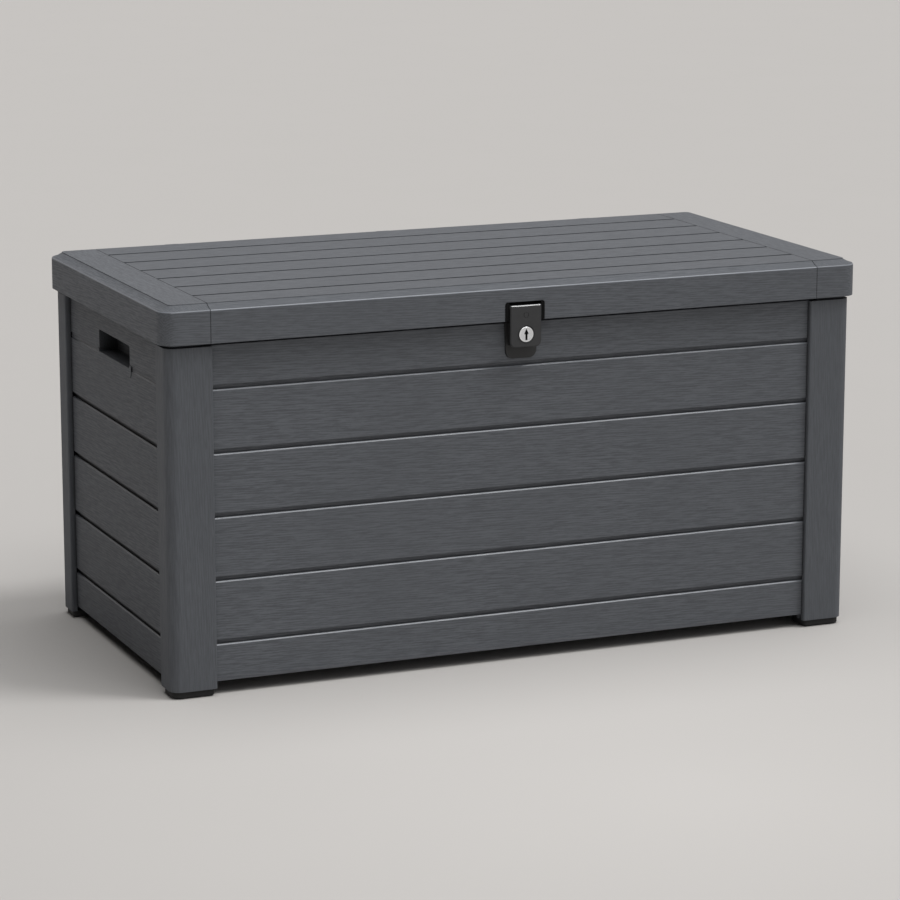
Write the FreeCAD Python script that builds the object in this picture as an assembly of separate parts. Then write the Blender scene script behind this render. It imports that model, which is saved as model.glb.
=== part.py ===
import FreeCAD, Part
import math
import os

# Outdoor storage box in moulded grey resin: four corner posts on black feet,
# ribbed board walls, a three-piece lid with steel stiffener tubes, rear pin
# hinges and a key lock on a swinging flap.
# Millimetres. +X is to the right, +Y to the back, +Z up.
# The origin is on the floor, under the middle of the box.

# Overall size of the closed box
LID_WIDTH = 1250.0
LID_DEPTH = 630.0
HEIGHT = 645.0

# Lid shell
LID_OVERHANG = 9.0
LID_WALL = 3.0
LID_CORNER_RADIUS = 27.0
SKIRT_HEIGHT = 63.0
BEVEL_WIDTH = 18.0
BEVEL_HEIGHT = 8.7
BEVEL_STEP = 1.0
BEVEL_HOLLOW = 1.5
BEVEL_HOLLOW_RADIUS = 40.0
BEVEL_ARRIS_RADIUS = 3.0
SHADOW_GAP = 6.0

# Boards, seams and ribs of the lid
END_BOARD_WIDTH = 81.0
LID_BOARD_PITCH = 90.0
LID_GROOVE_WIDTH = 7.0
LID_GROOVE_DEPTH = 4.5
LID_GROOVE_END_RADIUS = 3.0
SEAM_WIDTH = 1.2
SEAM_DEPTH = 0.5
LID_RIB_THICKNESS = 3.0
LID_RIB_COUNT = 5
RIM_DROP = 25.0
SEAT_GAP = 0.3
TUBE_RADIUS = 9.0
TUBE_WALL = 1.5
TUBE_SPREAD = 300.0
TUBE_CLEARANCE = 0.1
TUBE_END_GAP = 0.3

# Corner posts and feet
POST_FACE_WIDTH = 78.0
POST_SIDE_WIDTH = 57.0
POST_CORNER_RADIUS = 18.0
POST_EDGE_RADIUS = 3.0
POST_WALL = 3.0
FOOT_HEIGHT = 12.0
FOOT_INSET = 4.0
FOOT_CHAMFER = 2.0
SPIGOT_HEIGHT = 10.0
SPIGOT_CLEARANCE = 0.3

# Board walls
FRONT_RECESS = 9.0
SIDE_RECESS = 10.0
WALL_THICKNESS = 16.0
WALL_SKIN = 3.0
WALL_BOTTOM = 22.0
BOTTOM_BOARD = 59.5
BOARD_PITCH = 105.0
GROOVE_HEIGHT = 10.0
GROOVE_DEPTH = 6.0
GROOVE_CHAMFER = 2.0
WALL_FLANGE = 4.0
FRONT_REBATE = 6.0
WALL_RIB_THICKNESS = 3.0
WALL_BAY = 106.0
TONGUE_LENGTH = 15.0
TONGUE_THICKNESS = 10.0
TONGUE_CLEARANCE = 0.2
LEDGE_DEPTH = 12.0

# Hand grips in the side walls
GRIP_WIDTH = 168.0
GRIP_HEIGHT = 37.5
GRIP_DROP = 114.0
GRIP_DEPTH = 32.0
GRIP_HEADROOM = 14.0
GRIP_BORDER = 8.0
GRIP_APRON = 15.0
GRIP_PROUD = 0.8
GRIP_GROOVE_DEPTH = 1.5
GRIP_WALL = 3.0

# Floor tray
FLOOR_SKIN = 3.0
FLOOR_RIB_HEIGHT = 8.0
FLOOR_RIB_THICKNESS = 3.0
FLOOR_RIB_PITCH = 145.0
FLOOR_CLEARANCE = 0.4

# Rear hinges
HINGE_AXIS_DROP = 33.0
HINGE_AXIS_BEHIND_WALL = 9.0
HINGE_SPREAD = 400.0
HINGE_COUNT = 3
KNUCKLE_RADIUS = 7.5
KNUCKLE_LENGTH = 24.0
KNUCKLE_GAP = 0.5
HINGE_PIN_RADIUS = 2.5
PIN_CLEARANCE = 0.05
OPEN_ANGLE = 100.0
STOP_CLEARANCE = 0.1
REAR_SKIRT_CLEARANCE = 1.0

# Lock housing and flap in the front skirt
NOTCH_WIDTH = 70.5
NOTCH_HEIGHT = 31.5
NOTCH_RADIUS = 4.0
FLAP_WIDTH = 55.6
FLAP_HEIGHT = 70.0
FLAP_THICKNESS = 4.0
FLAP_PROUD = 5.0
FLAP_TOP_DROP = 5.5
FLAP_CORNER_RADIUS = 9.0
FLAP_PIVOT_DROP = 3.5
FLAP_PIVOT_SETBACK = 6.0
FLAP_BARREL_RADIUS = 3.5
FLAP_PIN_RADIUS = 1.5
FLAP_SIDE_CLEARANCE = 0.5
FLAP_SEAT_GAP = 0.3
FLAP_TOP_CORNER_RADIUS = 2.0
FLAP_CHAMFER = 1.5
BUTTON_RADIUS = 3.9
BUTTON_RING_WIDTH = 0.8
BUTTON_RING_DEPTH = 0.9
HOUSING_WALL = 2.5
HOUSING_DEPTH = 10.0
HOUSING_PROUD = 1.0
HOUSING_HEAD_GAP = 0.5

# Key cylinder, cam and catch
LOCK_DROP = 45.0
LOCK_FACE_RADIUS = 12.8
LOCK_FACE_THICKNESS = 3.5
LOCK_FACE_FILLET = 0.8
LOCK_RECESS_DEPTH = 2.0
LOCK_RECESS_MARGIN = 2.2
LOCK_THREAD_RADIUS = 9.0
LOCK_THREAD_LENGTH = 12.5
PLUG_FACE_RADIUS = 10.4
PLUG_FACE_THICKNESS = 1.2
PLUG_CORE_RADIUS = 6.5
PLUG_CLEARANCE = 0.05
PLUG_SETBACK = 0.2
KEYWAY_WIDTH = 3.0
KEYWAY_HEIGHT = 18.0
KEYWAY_DEPTH = 7.0
ARROW_WIDTH = 7.0
ARROW_HEIGHT = 8.0
CAM_SEAT_RADIUS = 3.25
CAM_GAP = 0.2
NUT_ACROSS_FLATS = 23.0
NUT_THICKNESS = 4.0
CAM_LENGTH = 17.0
CAM_WIDTH = 11.0
CAM_THICKNESS = 2.5
CAM_CORNER_RADIUS = 4.9
CAM_TIP_RADIUS = 2.7
CATCH_TOP_WIDTH = 59.0
CATCH_BOTTOM_WIDTH = 54.0
CATCH_TOP_GAP = 4.0
CATCH_HEIGHT = 61.5
CATCH_CORNER_RADIUS = 13.0
CATCH_THICKNESS = 3.0
CHEEK_SPACING = 40.0
CHEEK_THICKNESS = 3.0
CHEEK_HEIGHT = 38.0

# Screws
SCREW_RADIUS = 2.0
SCREW_HEAD_RADIUS = 4.0
SCREW_HEAD_HEIGHT = 2.4
SCREW_CLEARANCE = 0.05
SCREW_TIP_ROOM = 1.0
LOWER_WALL_SCREW = 130.0
UPPER_WALL_SCREW = 430.0
SEAM_SCREW_COUNT = 4
SEAM_BOSS_LENGTH = 6.0
SEAM_BOSS_RADIUS = 5.0
CATCH_SCREW_SPACING = 28.0

# How far joined shapes run into each other, and how near counts as touching
WELD = 0.5
TOUCH = 1e-6

# Planes that follow from the sizes above
POST_X = LID_WIDTH / 2 - LID_OVERHANG
POST_Y = LID_DEPTH / 2 - LID_OVERHANG
SKIRT_BOTTOM = HEIGHT - SKIRT_HEIGHT
POST_TOP = SKIRT_BOTTOM - SHADOW_GAP
WALL_X = POST_X - SIDE_RECESS
WALL_Y = POST_Y - FRONT_RECESS
WALL_INNER_X = WALL_X - WALL_THICKNESS
WALL_INNER_Y = WALL_Y - WALL_THICKNESS
RIM_TOP = HEIGHT - RIM_DROP
GRIP_SILL = RIM_TOP - GRIP_DROP
WALL_SCREW_LEVELS = (LOWER_WALL_SCREW, UPPER_WALL_SCREW)
LID_UNDERSIDE = HEIGHT - LID_WALL
RIB_BOTTOM = RIM_TOP + SEAT_GAP
SEAM_X = LID_WIDTH / 2 - END_BOARD_WIDTH
LEG_FRONT = FRONT_RECESS + WALL_THICKNESS
LEG_SIDE = SIDE_RECESS + WALL_THICKNESS
HINGE_Y = WALL_Y + HINGE_AXIS_BEHIND_WALL
HINGE_Z = HEIGHT - HINGE_AXIS_DROP
SKIRT_Y = LID_DEPTH / 2
NOTCH_TOP = SKIRT_BOTTOM + NOTCH_HEIGHT
FLAP_FACE_Y = -SKIRT_Y - FLAP_PROUD
FLAP_BACK_Y = FLAP_FACE_Y + FLAP_THICKNESS
FLAP_TOP = NOTCH_TOP - FLAP_TOP_DROP
FLAP_BOTTOM = FLAP_TOP - FLAP_HEIGHT
PIVOT_Y = FLAP_FACE_Y + FLAP_PIVOT_SETBACK
PIVOT_Z = FLAP_TOP - FLAP_PIVOT_DROP
LOCK_LEVEL = PIVOT_Z - LOCK_DROP
CATCH_TOP = SKIRT_BOTTOM - CATCH_TOP_GAP
CATCH_BOTTOM = CATCH_TOP - CATCH_HEIGHT
LONG_WALL_HALF = POST_X - POST_FACE_WIDTH + TONGUE_LENGTH - TONGUE_CLEARANCE
SHORT_WALL_HALF = POST_Y - POST_SIDE_WIDTH + TONGUE_LENGTH - TONGUE_CLEARANCE
BAY_BOTTOM = WALL_BOTTOM + WALL_FLANGE
BAY_TOP = RIM_TOP - WALL_FLANGE
HINGE_HALF = 1.5 * KNUCKLE_LENGTH + KNUCKLE_GAP
SEAT_RIB_X = (WALL_X + WALL_INNER_X) / 2
SEAT_RIB_Y = (WALL_Y + WALL_INNER_Y) / 2
RIB_Z = (RIB_BOTTOM, LID_UNDERSIDE + WELD)
TUBE_Z = (RIB_BOTTOM + LID_UNDERSIDE) / 2
TUBE_END = SEAM_X - TUBE_END_GAP
SEAM_SCREW_LENGTH = 2 * LID_RIB_THICKNESS + SEAM_BOSS_LENGTH
POCKET_HALF = FLAP_WIDTH / 2 + FLAP_SIDE_CLEARANCE
HOUSING_HALF = NOTCH_WIDTH / 2 + HOUSING_WALL
HOUSING_FRONT_Y = -SKIRT_Y + LID_WALL
HOUSING_BACK_Y = HOUSING_FRONT_Y + HOUSING_DEPTH
CUP_TOP = NOTCH_TOP + HOUSING_WALL
HOUSING_TOP = CUP_TOP + 2 * SCREW_HEAD_RADIUS + HOUSING_HEAD_GAP
HOUSING_BOTTOM = SKIRT_BOTTOM + FLAP_SIDE_CLEARANCE
HOUSING_SCREW_LENGTH = HOUSING_WALL + LID_WALL / 2
LOCK_SEAT_Y = FLAP_FACE_Y + LOCK_RECESS_DEPTH
LOCK_FACE_Y = LOCK_SEAT_Y - LOCK_FACE_THICKNESS
PLUG_FRONT_Y = LOCK_FACE_Y + PLUG_SETBACK
THREAD_END_Y = LOCK_SEAT_Y + LOCK_THREAD_LENGTH
CAM_FRONT_Y = THREAD_END_Y + CAM_GAP
CAM_BACK_Y = CAM_FRONT_Y + CAM_THICKNESS
LOCK_RECESS_RADIUS = LOCK_FACE_RADIUS + LOCK_RECESS_MARGIN
BUTTON_LEVEL = (PIVOT_Z + LOCK_LEVEL + LOCK_RECESS_RADIUS) / 2 + LOCK_RECESS_MARGIN
CATCH_SCREW_LENGTH = WALL_SKIN + CATCH_THICKNESS / 2

X_AXIS = FreeCAD.Vector(1, 0, 0)
Y_AXIS = FreeCAD.Vector(0, 1, 0)
Z_AXIS = FreeCAD.Vector(0, 0, 1)
ORIGIN = FreeCAD.Vector(0, 0, 0)


def block(x_limits, y_limits, z_limits):
    """Box between two limits on each axis."""
    corner = FreeCAD.Vector(x_limits[0], y_limits[0], z_limits[0])
    sizes = [limits[1] - limits[0] for limits in (x_limits, y_limits, z_limits)]
    return Part.makeBox(sizes[0], sizes[1], sizes[2], corner)


def rod(radius, start, end):
    """Round bar between two points."""
    along = end - start
    return Part.makeCylinder(radius, along.Length, start, along)


def rounded_outline(points, radii):
    """Closed wire through the points, with an arc of its own radius at each corner."""
    starts = []
    ends = []
    for index, corner in enumerate(points):
        before = (points[index - 1] - corner).normalize()
        after = (points[(index + 1) % len(points)] - corner).normalize()
        half_turn = before.getAngle(after) / 2
        trim = radii[index] / math.tan(half_turn)
        starts.append(corner + before * trim)
        ends.append(corner + after * trim)
    edges = []
    for index, corner in enumerate(points):
        if radii[index] > 0:
            bisector = (starts[index] - corner + ends[index] - corner).normalize()
            half_turn = (starts[index] - corner).getAngle(ends[index] - corner) / 2
            middle = corner + bisector * (radii[index] / math.sin(half_turn) - radii[index])
            edges.append(Part.Arc(starts[index], middle, ends[index]).toShape())
        following = starts[(index + 1) % len(points)]
        if ends[index].distanceToPoint(following) > TOUCH:
            edges.append(Part.LineSegment(ends[index], following).toShape())
    return Part.Wire(edges)


def plan_prism(corners, radii, z_limits):
    """Upright prism over a plan outline given as (x, y) corners."""
    points = [FreeCAD.Vector(x, y, z_limits[0]) for x, y in corners]
    face = Part.Face(rounded_outline(points, radii))
    return face.extrude(Z_AXIS * (z_limits[1] - z_limits[0]))


def front_prism(corners, radii, y_limits):
    """Prism through the front, over an outline given as (x, z) corners."""
    points = [FreeCAD.Vector(x, y_limits[0], z) for x, z in corners]
    face = Part.Face(rounded_outline(points, radii))
    return face.extrude(Y_AXIS * (y_limits[1] - y_limits[0]))


def side_prism(corners, x_limits):
    """Prism along X, over a section given as (y, z) corners."""
    points = [FreeCAD.Vector(x_limits[0], y, z) for y, z in corners]
    face = Part.Face(Part.makePolygon(points + points[:1]))
    return face.extrude(X_AXIS * (x_limits[1] - x_limits[0]))


def fused(shapes):
    """One solid from shapes that meet, with the seams between them removed."""
    return shapes[0].fuse(shapes[1:]).removeSplitter()


def mirrored_x(shape):
    return shape.mirror(ORIGIN, X_AXIS)


def mirrored_y(shape):
    return shape.mirror(ORIGIN, Y_AXIS)


def turned(shape, degrees):
    """Copy of the shape turned about the upright axis through the origin."""
    copy = shape.copy()
    copy.rotate(ORIGIN, Z_AXIS, degrees)
    return copy


def moved(shape, x=0.0, y=0.0, z=0.0):
    copy = shape.copy()
    copy.translate(FreeCAD.Vector(x, y, z))
    return copy


def pan_screw(seat, direction, length):
    """Pan-head screw whose head sits on the seat point and whose shank runs along the direction."""
    head = Part.makeCylinder(SCREW_HEAD_RADIUS, SCREW_HEAD_HEIGHT, seat, direction * -1)
    rim = []
    for edge in head.Edges:
        if edge.Closed and edge.CenterOfMass.distanceToPoint(seat) > SCREW_HEAD_HEIGHT / 2:
            rim.append(edge)
    head = head.makeFillet(SCREW_HEAD_HEIGHT / 2, rim)
    shank = Part.makeCylinder(SCREW_RADIUS, length, seat, direction)
    return head.fuse(shank)


def screw_hole(seat, direction, length):
    """Clearance hole for a screw shank."""
    return Part.makeCylinder(SCREW_RADIUS + SCREW_CLEARANCE, length, seat, direction)


# Board walls

def groove_levels():
    """Height of the lower edge of each groove between boards."""
    first = WALL_BOTTOM + BOTTOM_BOARD
    room = BAY_TOP - GROOVE_HEIGHT - WALL_SKIN - first
    return [first + BOARD_PITCH * index for index in range(int(room // BOARD_PITCH) + 1)]


def board_line(offset):
    """Boards' face in section, as (depth, height) points going up.

    Each groove is a square step under the upper board, a flat back and a chamfer
    on the top edge of the lower board.
    """
    line = []
    for level in groove_levels():
        line.append((offset, level - offset))
        line.append((offset + GROOVE_CHAMFER, level + GROOVE_CHAMFER - offset))
        line.append((offset + GROOVE_DEPTH, level + GROOVE_CHAMFER - offset))
        line.append((offset + GROOVE_DEPTH, level + GROOVE_HEIGHT + offset))
        line.append((offset, level + GROOVE_HEIGHT + offset))
    return line


def rim_line(offset, rebate, top):
    """Upper end of the boards' face in section, set back by the rebate above the posts."""
    if rebate > 0:
        step = POST_TOP - offset
        return [(offset, step), (offset + rebate, step), (offset + rebate, top)]
    return [(offset, top)]


def board_wall(half_length, rebate=0.0):
    """Wall along X with its boards facing -Y at y = 0, ribbed on the inside.

    A tongue at each end slides into a post, and the floor rests on the bottom ledge.
    """
    back = WALL_THICKNESS
    outside = [(0.0, WALL_BOTTOM)] + board_line(0.0) + rim_line(0.0, rebate, RIM_TOP)
    outside += [(back, RIM_TOP), (back, WALL_BOTTOM)]
    wall = side_prism(outside, (-half_length, half_length))
    pocket = [(WALL_SKIN, BAY_BOTTOM)] + board_line(WALL_SKIN) + rim_line(WALL_SKIN, rebate, BAY_TOP)
    pocket += [(back, BAY_TOP), (back, BAY_BOTTOM)]
    bay_span = half_length - TONGUE_LENGTH - WALL_RIB_THICKNESS
    bay_count = max(1, int(round(2 * bay_span / WALL_BAY)))
    bay_pitch = 2 * bay_span / bay_count
    bays = []
    for index in range(bay_count):
        left = -bay_span + index * bay_pitch + WALL_RIB_THICKNESS / 2
        bays.append(side_prism(pocket, (left, left + bay_pitch - WALL_RIB_THICKNESS)))
    wall = wall.cut(bays)
    shoulder = half_length - TONGUE_LENGTH
    tongue_relief = block((shoulder, half_length), (TONGUE_THICKNESS, back), (WALL_BOTTOM, RIM_TOP))
    wall = wall.cut([tongue_relief, mirrored_x(tongue_relief)])
    ledge = block((-shoulder, shoulder), (back - WALL_SKIN, back + LEDGE_DEPTH), (WALL_BOTTOM, BAY_BOTTOM))
    return fused([wall, ledge])


def wall_screw_seats(half_length):
    """Points on a wall's inner side where screws from the post's back lip pass its tongues."""
    reach = half_length - TONGUE_LENGTH / 2
    return [(side * reach, level) for side in (-1, 1) for level in WALL_SCREW_LEVELS]


def wall_holes(half_length):
    """Holes for the screws through both tongues of a wall."""
    length = WALL_THICKNESS - WALL_SKIN
    holes = []
    for x, level in wall_screw_seats(half_length):
        holes.append(screw_hole(FreeCAD.Vector(x, WALL_THICKNESS, level), Y_AXIS * -1, length))
    return holes


def wall_screws(half_length):
    """Screws of one wall, their heads on the inner side of the posts."""
    length = WALL_THICKNESS - WALL_SKIN - SCREW_TIP_ROOM
    screws = []
    for x, level in wall_screw_seats(half_length):
        screws.append(pan_screw(FreeCAD.Vector(x, WALL_THICKNESS, level), Y_AXIS * -1, length))
    return screws


def hand_grip_body():
    """Solid of a hand grip on a wall facing -Y: a proud apron, a filled groove and the pocket's cup."""
    half = GRIP_WIDTH / 2
    low = GRIP_SILL - GRIP_APRON
    high = GRIP_SILL + GROOVE_HEIGHT / 2
    outer = half + GRIP_BORDER
    lip = GROOVE_DEPTH + WALL_SKIN
    outline = [(-outer, low), (outer, low), (outer, high), (-outer, high)]
    apron = front_prism(outline, [GRIP_BORDER, GRIP_BORDER, 0, 0], (-GRIP_PROUD, lip))
    groove = min(groove_levels(), key=lambda level: abs(level - GRIP_SILL))
    shoulder = SHORT_WALL_HALF - TONGUE_LENGTH
    filled_z = (groove - WALL_SKIN, groove + GROOVE_HEIGHT + WALL_SKIN)
    filling = block((-shoulder, shoulder), (GRIP_GROOVE_DEPTH, lip), filled_z)
    cup_low = GRIP_SILL - GRIP_WALL
    cup_high = GRIP_SILL + GRIP_HEIGHT + GRIP_HEADROOM + GRIP_WALL
    cup_half = half + GRIP_WALL
    cup_outline = [(-cup_half, cup_low), (cup_half, cup_low), (cup_half, cup_high), (-cup_half, cup_high)]
    cup = front_prism(cup_outline, [GRIP_WALL] * 4, (0.0, GRIP_DEPTH + GRIP_WALL))
    return [apron, filling, cup]


def hand_grip_hollow():
    """Mouth of the hand grip and the finger room behind and above its upper lip."""
    half = GRIP_WIDTH / 2
    mouth_high = GRIP_SILL + GRIP_HEIGHT
    mouth_outline = [(-half, GRIP_SILL), (half, GRIP_SILL), (half, mouth_high), (-half, mouth_high)]
    lip = GROOVE_DEPTH + WALL_SKIN
    mouth = front_prism(mouth_outline, [GRIP_WALL] * 4, (-2 * GRIP_PROUD, lip + GRIP_PROUD))
    room_outline = [(-half, GRIP_SILL), (half, GRIP_SILL)]
    room_outline += [(half, mouth_high + GRIP_HEADROOM), (-half, mouth_high + GRIP_HEADROOM)]
    room = front_prism(room_outline, [GRIP_WALL] * 4, (lip, GRIP_DEPTH))
    return [mouth, room]


def front_panel():
    """Front wall, whose rebate leaves a dark gap under the lid's skirt."""
    wall = board_wall(LONG_WALL_HALF, FRONT_REBATE).cut(wall_holes(LONG_WALL_HALF))
    wall = moved(wall, y=-WALL_Y)
    return wall.cut([screw_hole(seat, Y_AXIS * -1, WALL_SKIN) for seat in catch_screw_seats()])


def rear_panel():
    wall = turned(moved(board_wall(LONG_WALL_HALF).cut(wall_holes(LONG_WALL_HALF)), y=-WALL_Y), 180)
    return fused([wall] + base_knuckles()).cut(hinge_bores())


def side_panel():
    """Left wall, with its boards facing -X."""
    wall = fused([board_wall(SHORT_WALL_HALF)] + hand_grip_body()).cut(hand_grip_hollow())
    wall = wall.cut(wall_holes(SHORT_WALL_HALF))
    return turned(moved(wall, y=-WALL_X), -90)


def all_wall_screws():
    long_wall = [moved(screw, y=-WALL_Y) for screw in wall_screws(LONG_WALL_HALF)]
    short_wall = [moved(screw, y=-WALL_X) for screw in wall_screws(SHORT_WALL_HALF)]
    screws = long_wall + [turned(screw, 180) for screw in long_wall]
    screws += [turned(screw, -90) for screw in short_wall]
    screws += [turned(screw, 90) for screw in short_wall]
    return Part.makeCompound(screws)


# Corner posts and feet

def post_at_corner(shape):
    """Moves a shape drawn from the post's outer corner to the front left corner of the box."""
    return moved(shape, x=-POST_X, y=-POST_Y)


def chamber_outline(inset):
    """Hollow inside a post, as plan corners measured from the post's outer corner."""
    near = POST_WALL + inset
    far_x = POST_FACE_WIDTH - TONGUE_LENGTH - POST_WALL - inset
    far_y = POST_SIDE_WIDTH - TONGUE_LENGTH - POST_WALL - inset
    inner_x = LEG_SIDE - POST_WALL - inset
    inner_y = LEG_FRONT - POST_WALL - inset
    corners = [(near, near), (far_x, near), (far_x, inner_y)]
    corners += [(inner_x, inner_y), (inner_x, far_y), (near, far_y)]
    return corners, [POST_CORNER_RADIUS - near, 0, 0, 0, 0, 0]


def corner_post():
    """Hollow L-shaped post with a slot for each wall and a neck that fills the corner under the lid."""
    corners = [(0, 0), (POST_FACE_WIDTH, 0), (POST_FACE_WIDTH, LEG_FRONT)]
    corners += [(LEG_SIDE, LEG_FRONT), (LEG_SIDE, POST_SIDE_WIDTH), (0, POST_SIDE_WIDTH)]
    radii = [POST_CORNER_RADIUS, POST_EDGE_RADIUS, 0, 0, 0, POST_EDGE_RADIUS]
    post = plan_prism(corners, radii, (FOOT_HEIGHT, POST_TOP))
    neck_x = POST_FACE_WIDTH - TONGUE_LENGTH - TONGUE_CLEARANCE
    neck_y = POST_SIDE_WIDTH - TONGUE_LENGTH - TONGUE_CLEARANCE
    neck_corners = [(SIDE_RECESS, FRONT_RECESS), (neck_x, FRONT_RECESS), (neck_x, LEG_FRONT)]
    neck_corners += [(LEG_SIDE, LEG_FRONT), (LEG_SIDE, neck_y), (SIDE_RECESS, neck_y)]
    neck = plan_prism(neck_corners, [POST_EDGE_RADIUS, 0, 0, 0, 0, 0], (POST_TOP - POST_WALL, RIM_TOP))
    outline, outline_radii = chamber_outline(0.0)
    chamber = plan_prism(outline, outline_radii, (FOOT_HEIGHT, POST_TOP - POST_WALL))
    slot_z = (FOOT_HEIGHT, POST_TOP)
    front_slot_y = (FRONT_RECESS - TONGUE_CLEARANCE, FRONT_RECESS + TONGUE_THICKNESS + TONGUE_CLEARANCE)
    side_slot_x = (SIDE_RECESS - TONGUE_CLEARANCE, SIDE_RECESS + TONGUE_THICKNESS + TONGUE_CLEARANCE)
    front_slot = block((POST_FACE_WIDTH - TONGUE_LENGTH, POST_FACE_WIDTH), front_slot_y, slot_z)
    side_slot = block(side_slot_x, (POST_SIDE_WIDTH - TONGUE_LENGTH, POST_SIDE_WIDTH), slot_z)
    holes = []
    for level in WALL_SCREW_LEVELS:
        reach_x = POST_FACE_WIDTH - TONGUE_LENGTH / 2 + TONGUE_CLEARANCE
        reach_y = POST_SIDE_WIDTH - TONGUE_LENGTH / 2 + TONGUE_CLEARANCE
        holes.append(screw_hole(FreeCAD.Vector(reach_x, LEG_FRONT, level), Y_AXIS * -1, TONGUE_LENGTH / 2))
        holes.append(screw_hole(FreeCAD.Vector(LEG_SIDE, reach_y, level), X_AXIS * -1, TONGUE_LENGTH / 2))
    return post_at_corner(fused([post, neck]).cut([chamber, front_slot, side_slot] + holes))


def foot():
    """Black foot whose spigot plugs the hollow of a post."""
    far_x = POST_FACE_WIDTH - FOOT_INSET
    far_y = POST_SIDE_WIDTH - FOOT_INSET
    corners = [(FOOT_INSET, FOOT_INSET), (far_x, FOOT_INSET), (far_x, far_y), (FOOT_INSET, far_y)]
    small = FOOT_INSET + FOOT_CHAMFER
    radii = [POST_CORNER_RADIUS - FOOT_INSET, small, small, small]
    pad = plan_prism(corners, radii, (0.0, FOOT_HEIGHT))
    sole = [edge for edge in pad.Edges if edge.BoundBox.ZMax < TOUCH]
    pad = pad.makeChamfer(FOOT_CHAMFER, sole)
    outline, outline_radii = chamber_outline(SPIGOT_CLEARANCE)
    spigot = plan_prism(outline, outline_radii, (FOOT_HEIGHT, FOOT_HEIGHT + SPIGOT_HEIGHT))
    return post_at_corner(fused([pad, spigot]))


# Floor

def floor_panel():
    """Floor tray: a skin on a grid of ribs that rests on the ledges of the four walls."""
    half_x = WALL_INNER_X - FLOOR_CLEARANCE
    half_y = WALL_INNER_Y - FLOOR_CLEARANCE
    top = BAY_BOTTOM + FLOOR_RIB_HEIGHT + FLOOR_SKIN
    tray = block((-half_x, half_x), (-half_y, half_y), (BAY_BOTTOM, top))
    cells_x = max(1, int(round(2 * half_x / FLOOR_RIB_PITCH)))
    cells_y = max(1, int(round(2 * half_y / FLOOR_RIB_PITCH)))
    pitch_x = (2 * half_x - FLOOR_RIB_THICKNESS) / cells_x
    pitch_y = (2 * half_y - FLOOR_RIB_THICKNESS) / cells_y
    cells = []
    for column in range(cells_x):
        left = -half_x + FLOOR_RIB_THICKNESS + column * pitch_x
        for row in range(cells_y):
            near = -half_y + FLOOR_RIB_THICKNESS + row * pitch_y
            x_limits = (left, left + pitch_x - FLOOR_RIB_THICKNESS)
            y_limits = (near, near + pitch_y - FLOOR_RIB_THICKNESS)
            cells.append(block(x_limits, y_limits, (BAY_BOTTOM, top - FLOOR_SKIN)))
    return tray.cut(cells)


# Hinges

def hinge_positions():
    """Middle of each hinge along the rear edge."""
    return [HINGE_SPREAD * (index - (HINGE_COUNT - 1) / 2) for index in range(HINGE_COUNT)]


def hinge_rod(radius, left, right):
    """Round bar on the hinge axis."""
    return rod(radius, FreeCAD.Vector(left, HINGE_Y, HINGE_Z), FreeCAD.Vector(right, HINGE_Y, HINGE_Z))


def base_knuckles():
    """Outer knuckles of each hinge, carried on webs on the rear wall."""
    lean = KNUCKLE_RADIUS / math.sqrt(2)
    foot_level = HINGE_Z - KNUCKLE_RADIUS - 2 * HINGE_AXIS_BEHIND_WALL
    web = [(WALL_Y, foot_level), (HINGE_Y + lean, HINGE_Z - lean), (HINGE_Y, HINGE_Z)]
    web += [(HINGE_Y, HINGE_Z + KNUCKLE_RADIUS), (WALL_Y, HINGE_Z + KNUCKLE_RADIUS)]
    shapes = []
    for middle in hinge_positions():
        for side in (-1, 1):
            centre = middle + side * (KNUCKLE_LENGTH + KNUCKLE_GAP)
            limits = (centre - KNUCKLE_LENGTH / 2, centre + KNUCKLE_LENGTH / 2)
            shapes += [hinge_rod(KNUCKLE_RADIUS, *limits), side_prism(web, limits)]
    return shapes


def lid_knuckles():
    """Middle knuckle of each hinge, on an arm under the lid.

    The square heel below the knuckle meets the rear wall when the lid is fully open.
    """
    angle = math.radians(OPEN_ANGLE)
    heel = (HINGE_AXIS_BEHIND_WALL - STOP_CLEARANCE) / (math.sin(angle) - math.cos(angle))
    front = HINGE_Y - KNUCKLE_RADIUS + LID_WALL / 2
    rear = SKIRT_Y - WELD
    arm = [(front, HINGE_Z), (HINGE_Y, HINGE_Z), (rear, HINGE_Z + KNUCKLE_RADIUS + LID_WALL)]
    arm += [(rear, LID_UNDERSIDE + WELD), (front, LID_UNDERSIDE + WELD)]
    heel_block = [(HINGE_Y, HINGE_Z - heel), (HINGE_Y + heel, HINGE_Z - heel)]
    heel_block += [(HINGE_Y + heel, HINGE_Z), (HINGE_Y, HINGE_Z)]
    shapes = []
    for middle in hinge_positions():
        limits = (middle - KNUCKLE_LENGTH / 2, middle + KNUCKLE_LENGTH / 2)
        shapes += [hinge_rod(KNUCKLE_RADIUS, *limits), side_prism(arm, limits)]
        shapes.append(side_prism(heel_block, limits))
    return shapes


def hinge_bores():
    half = HINGE_HALF + KNUCKLE_GAP
    radius = HINGE_PIN_RADIUS + PIN_CLEARANCE
    return [hinge_rod(radius, middle - half, middle + half) for middle in hinge_positions()]


def hinge_pins():
    """Steel pin of each hinge, with a flat head at its left end."""
    pins = []
    for middle in hinge_positions():
        left = middle - HINGE_HALF
        shank = hinge_rod(HINGE_PIN_RADIUS, left, middle + HINGE_HALF)
        head = hinge_rod(2 * HINGE_PIN_RADIUS, left - HINGE_PIN_RADIUS, left)
        pins.append(fused([shank, head]))
    return Part.makeCompound(pins)


# Lid

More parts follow.
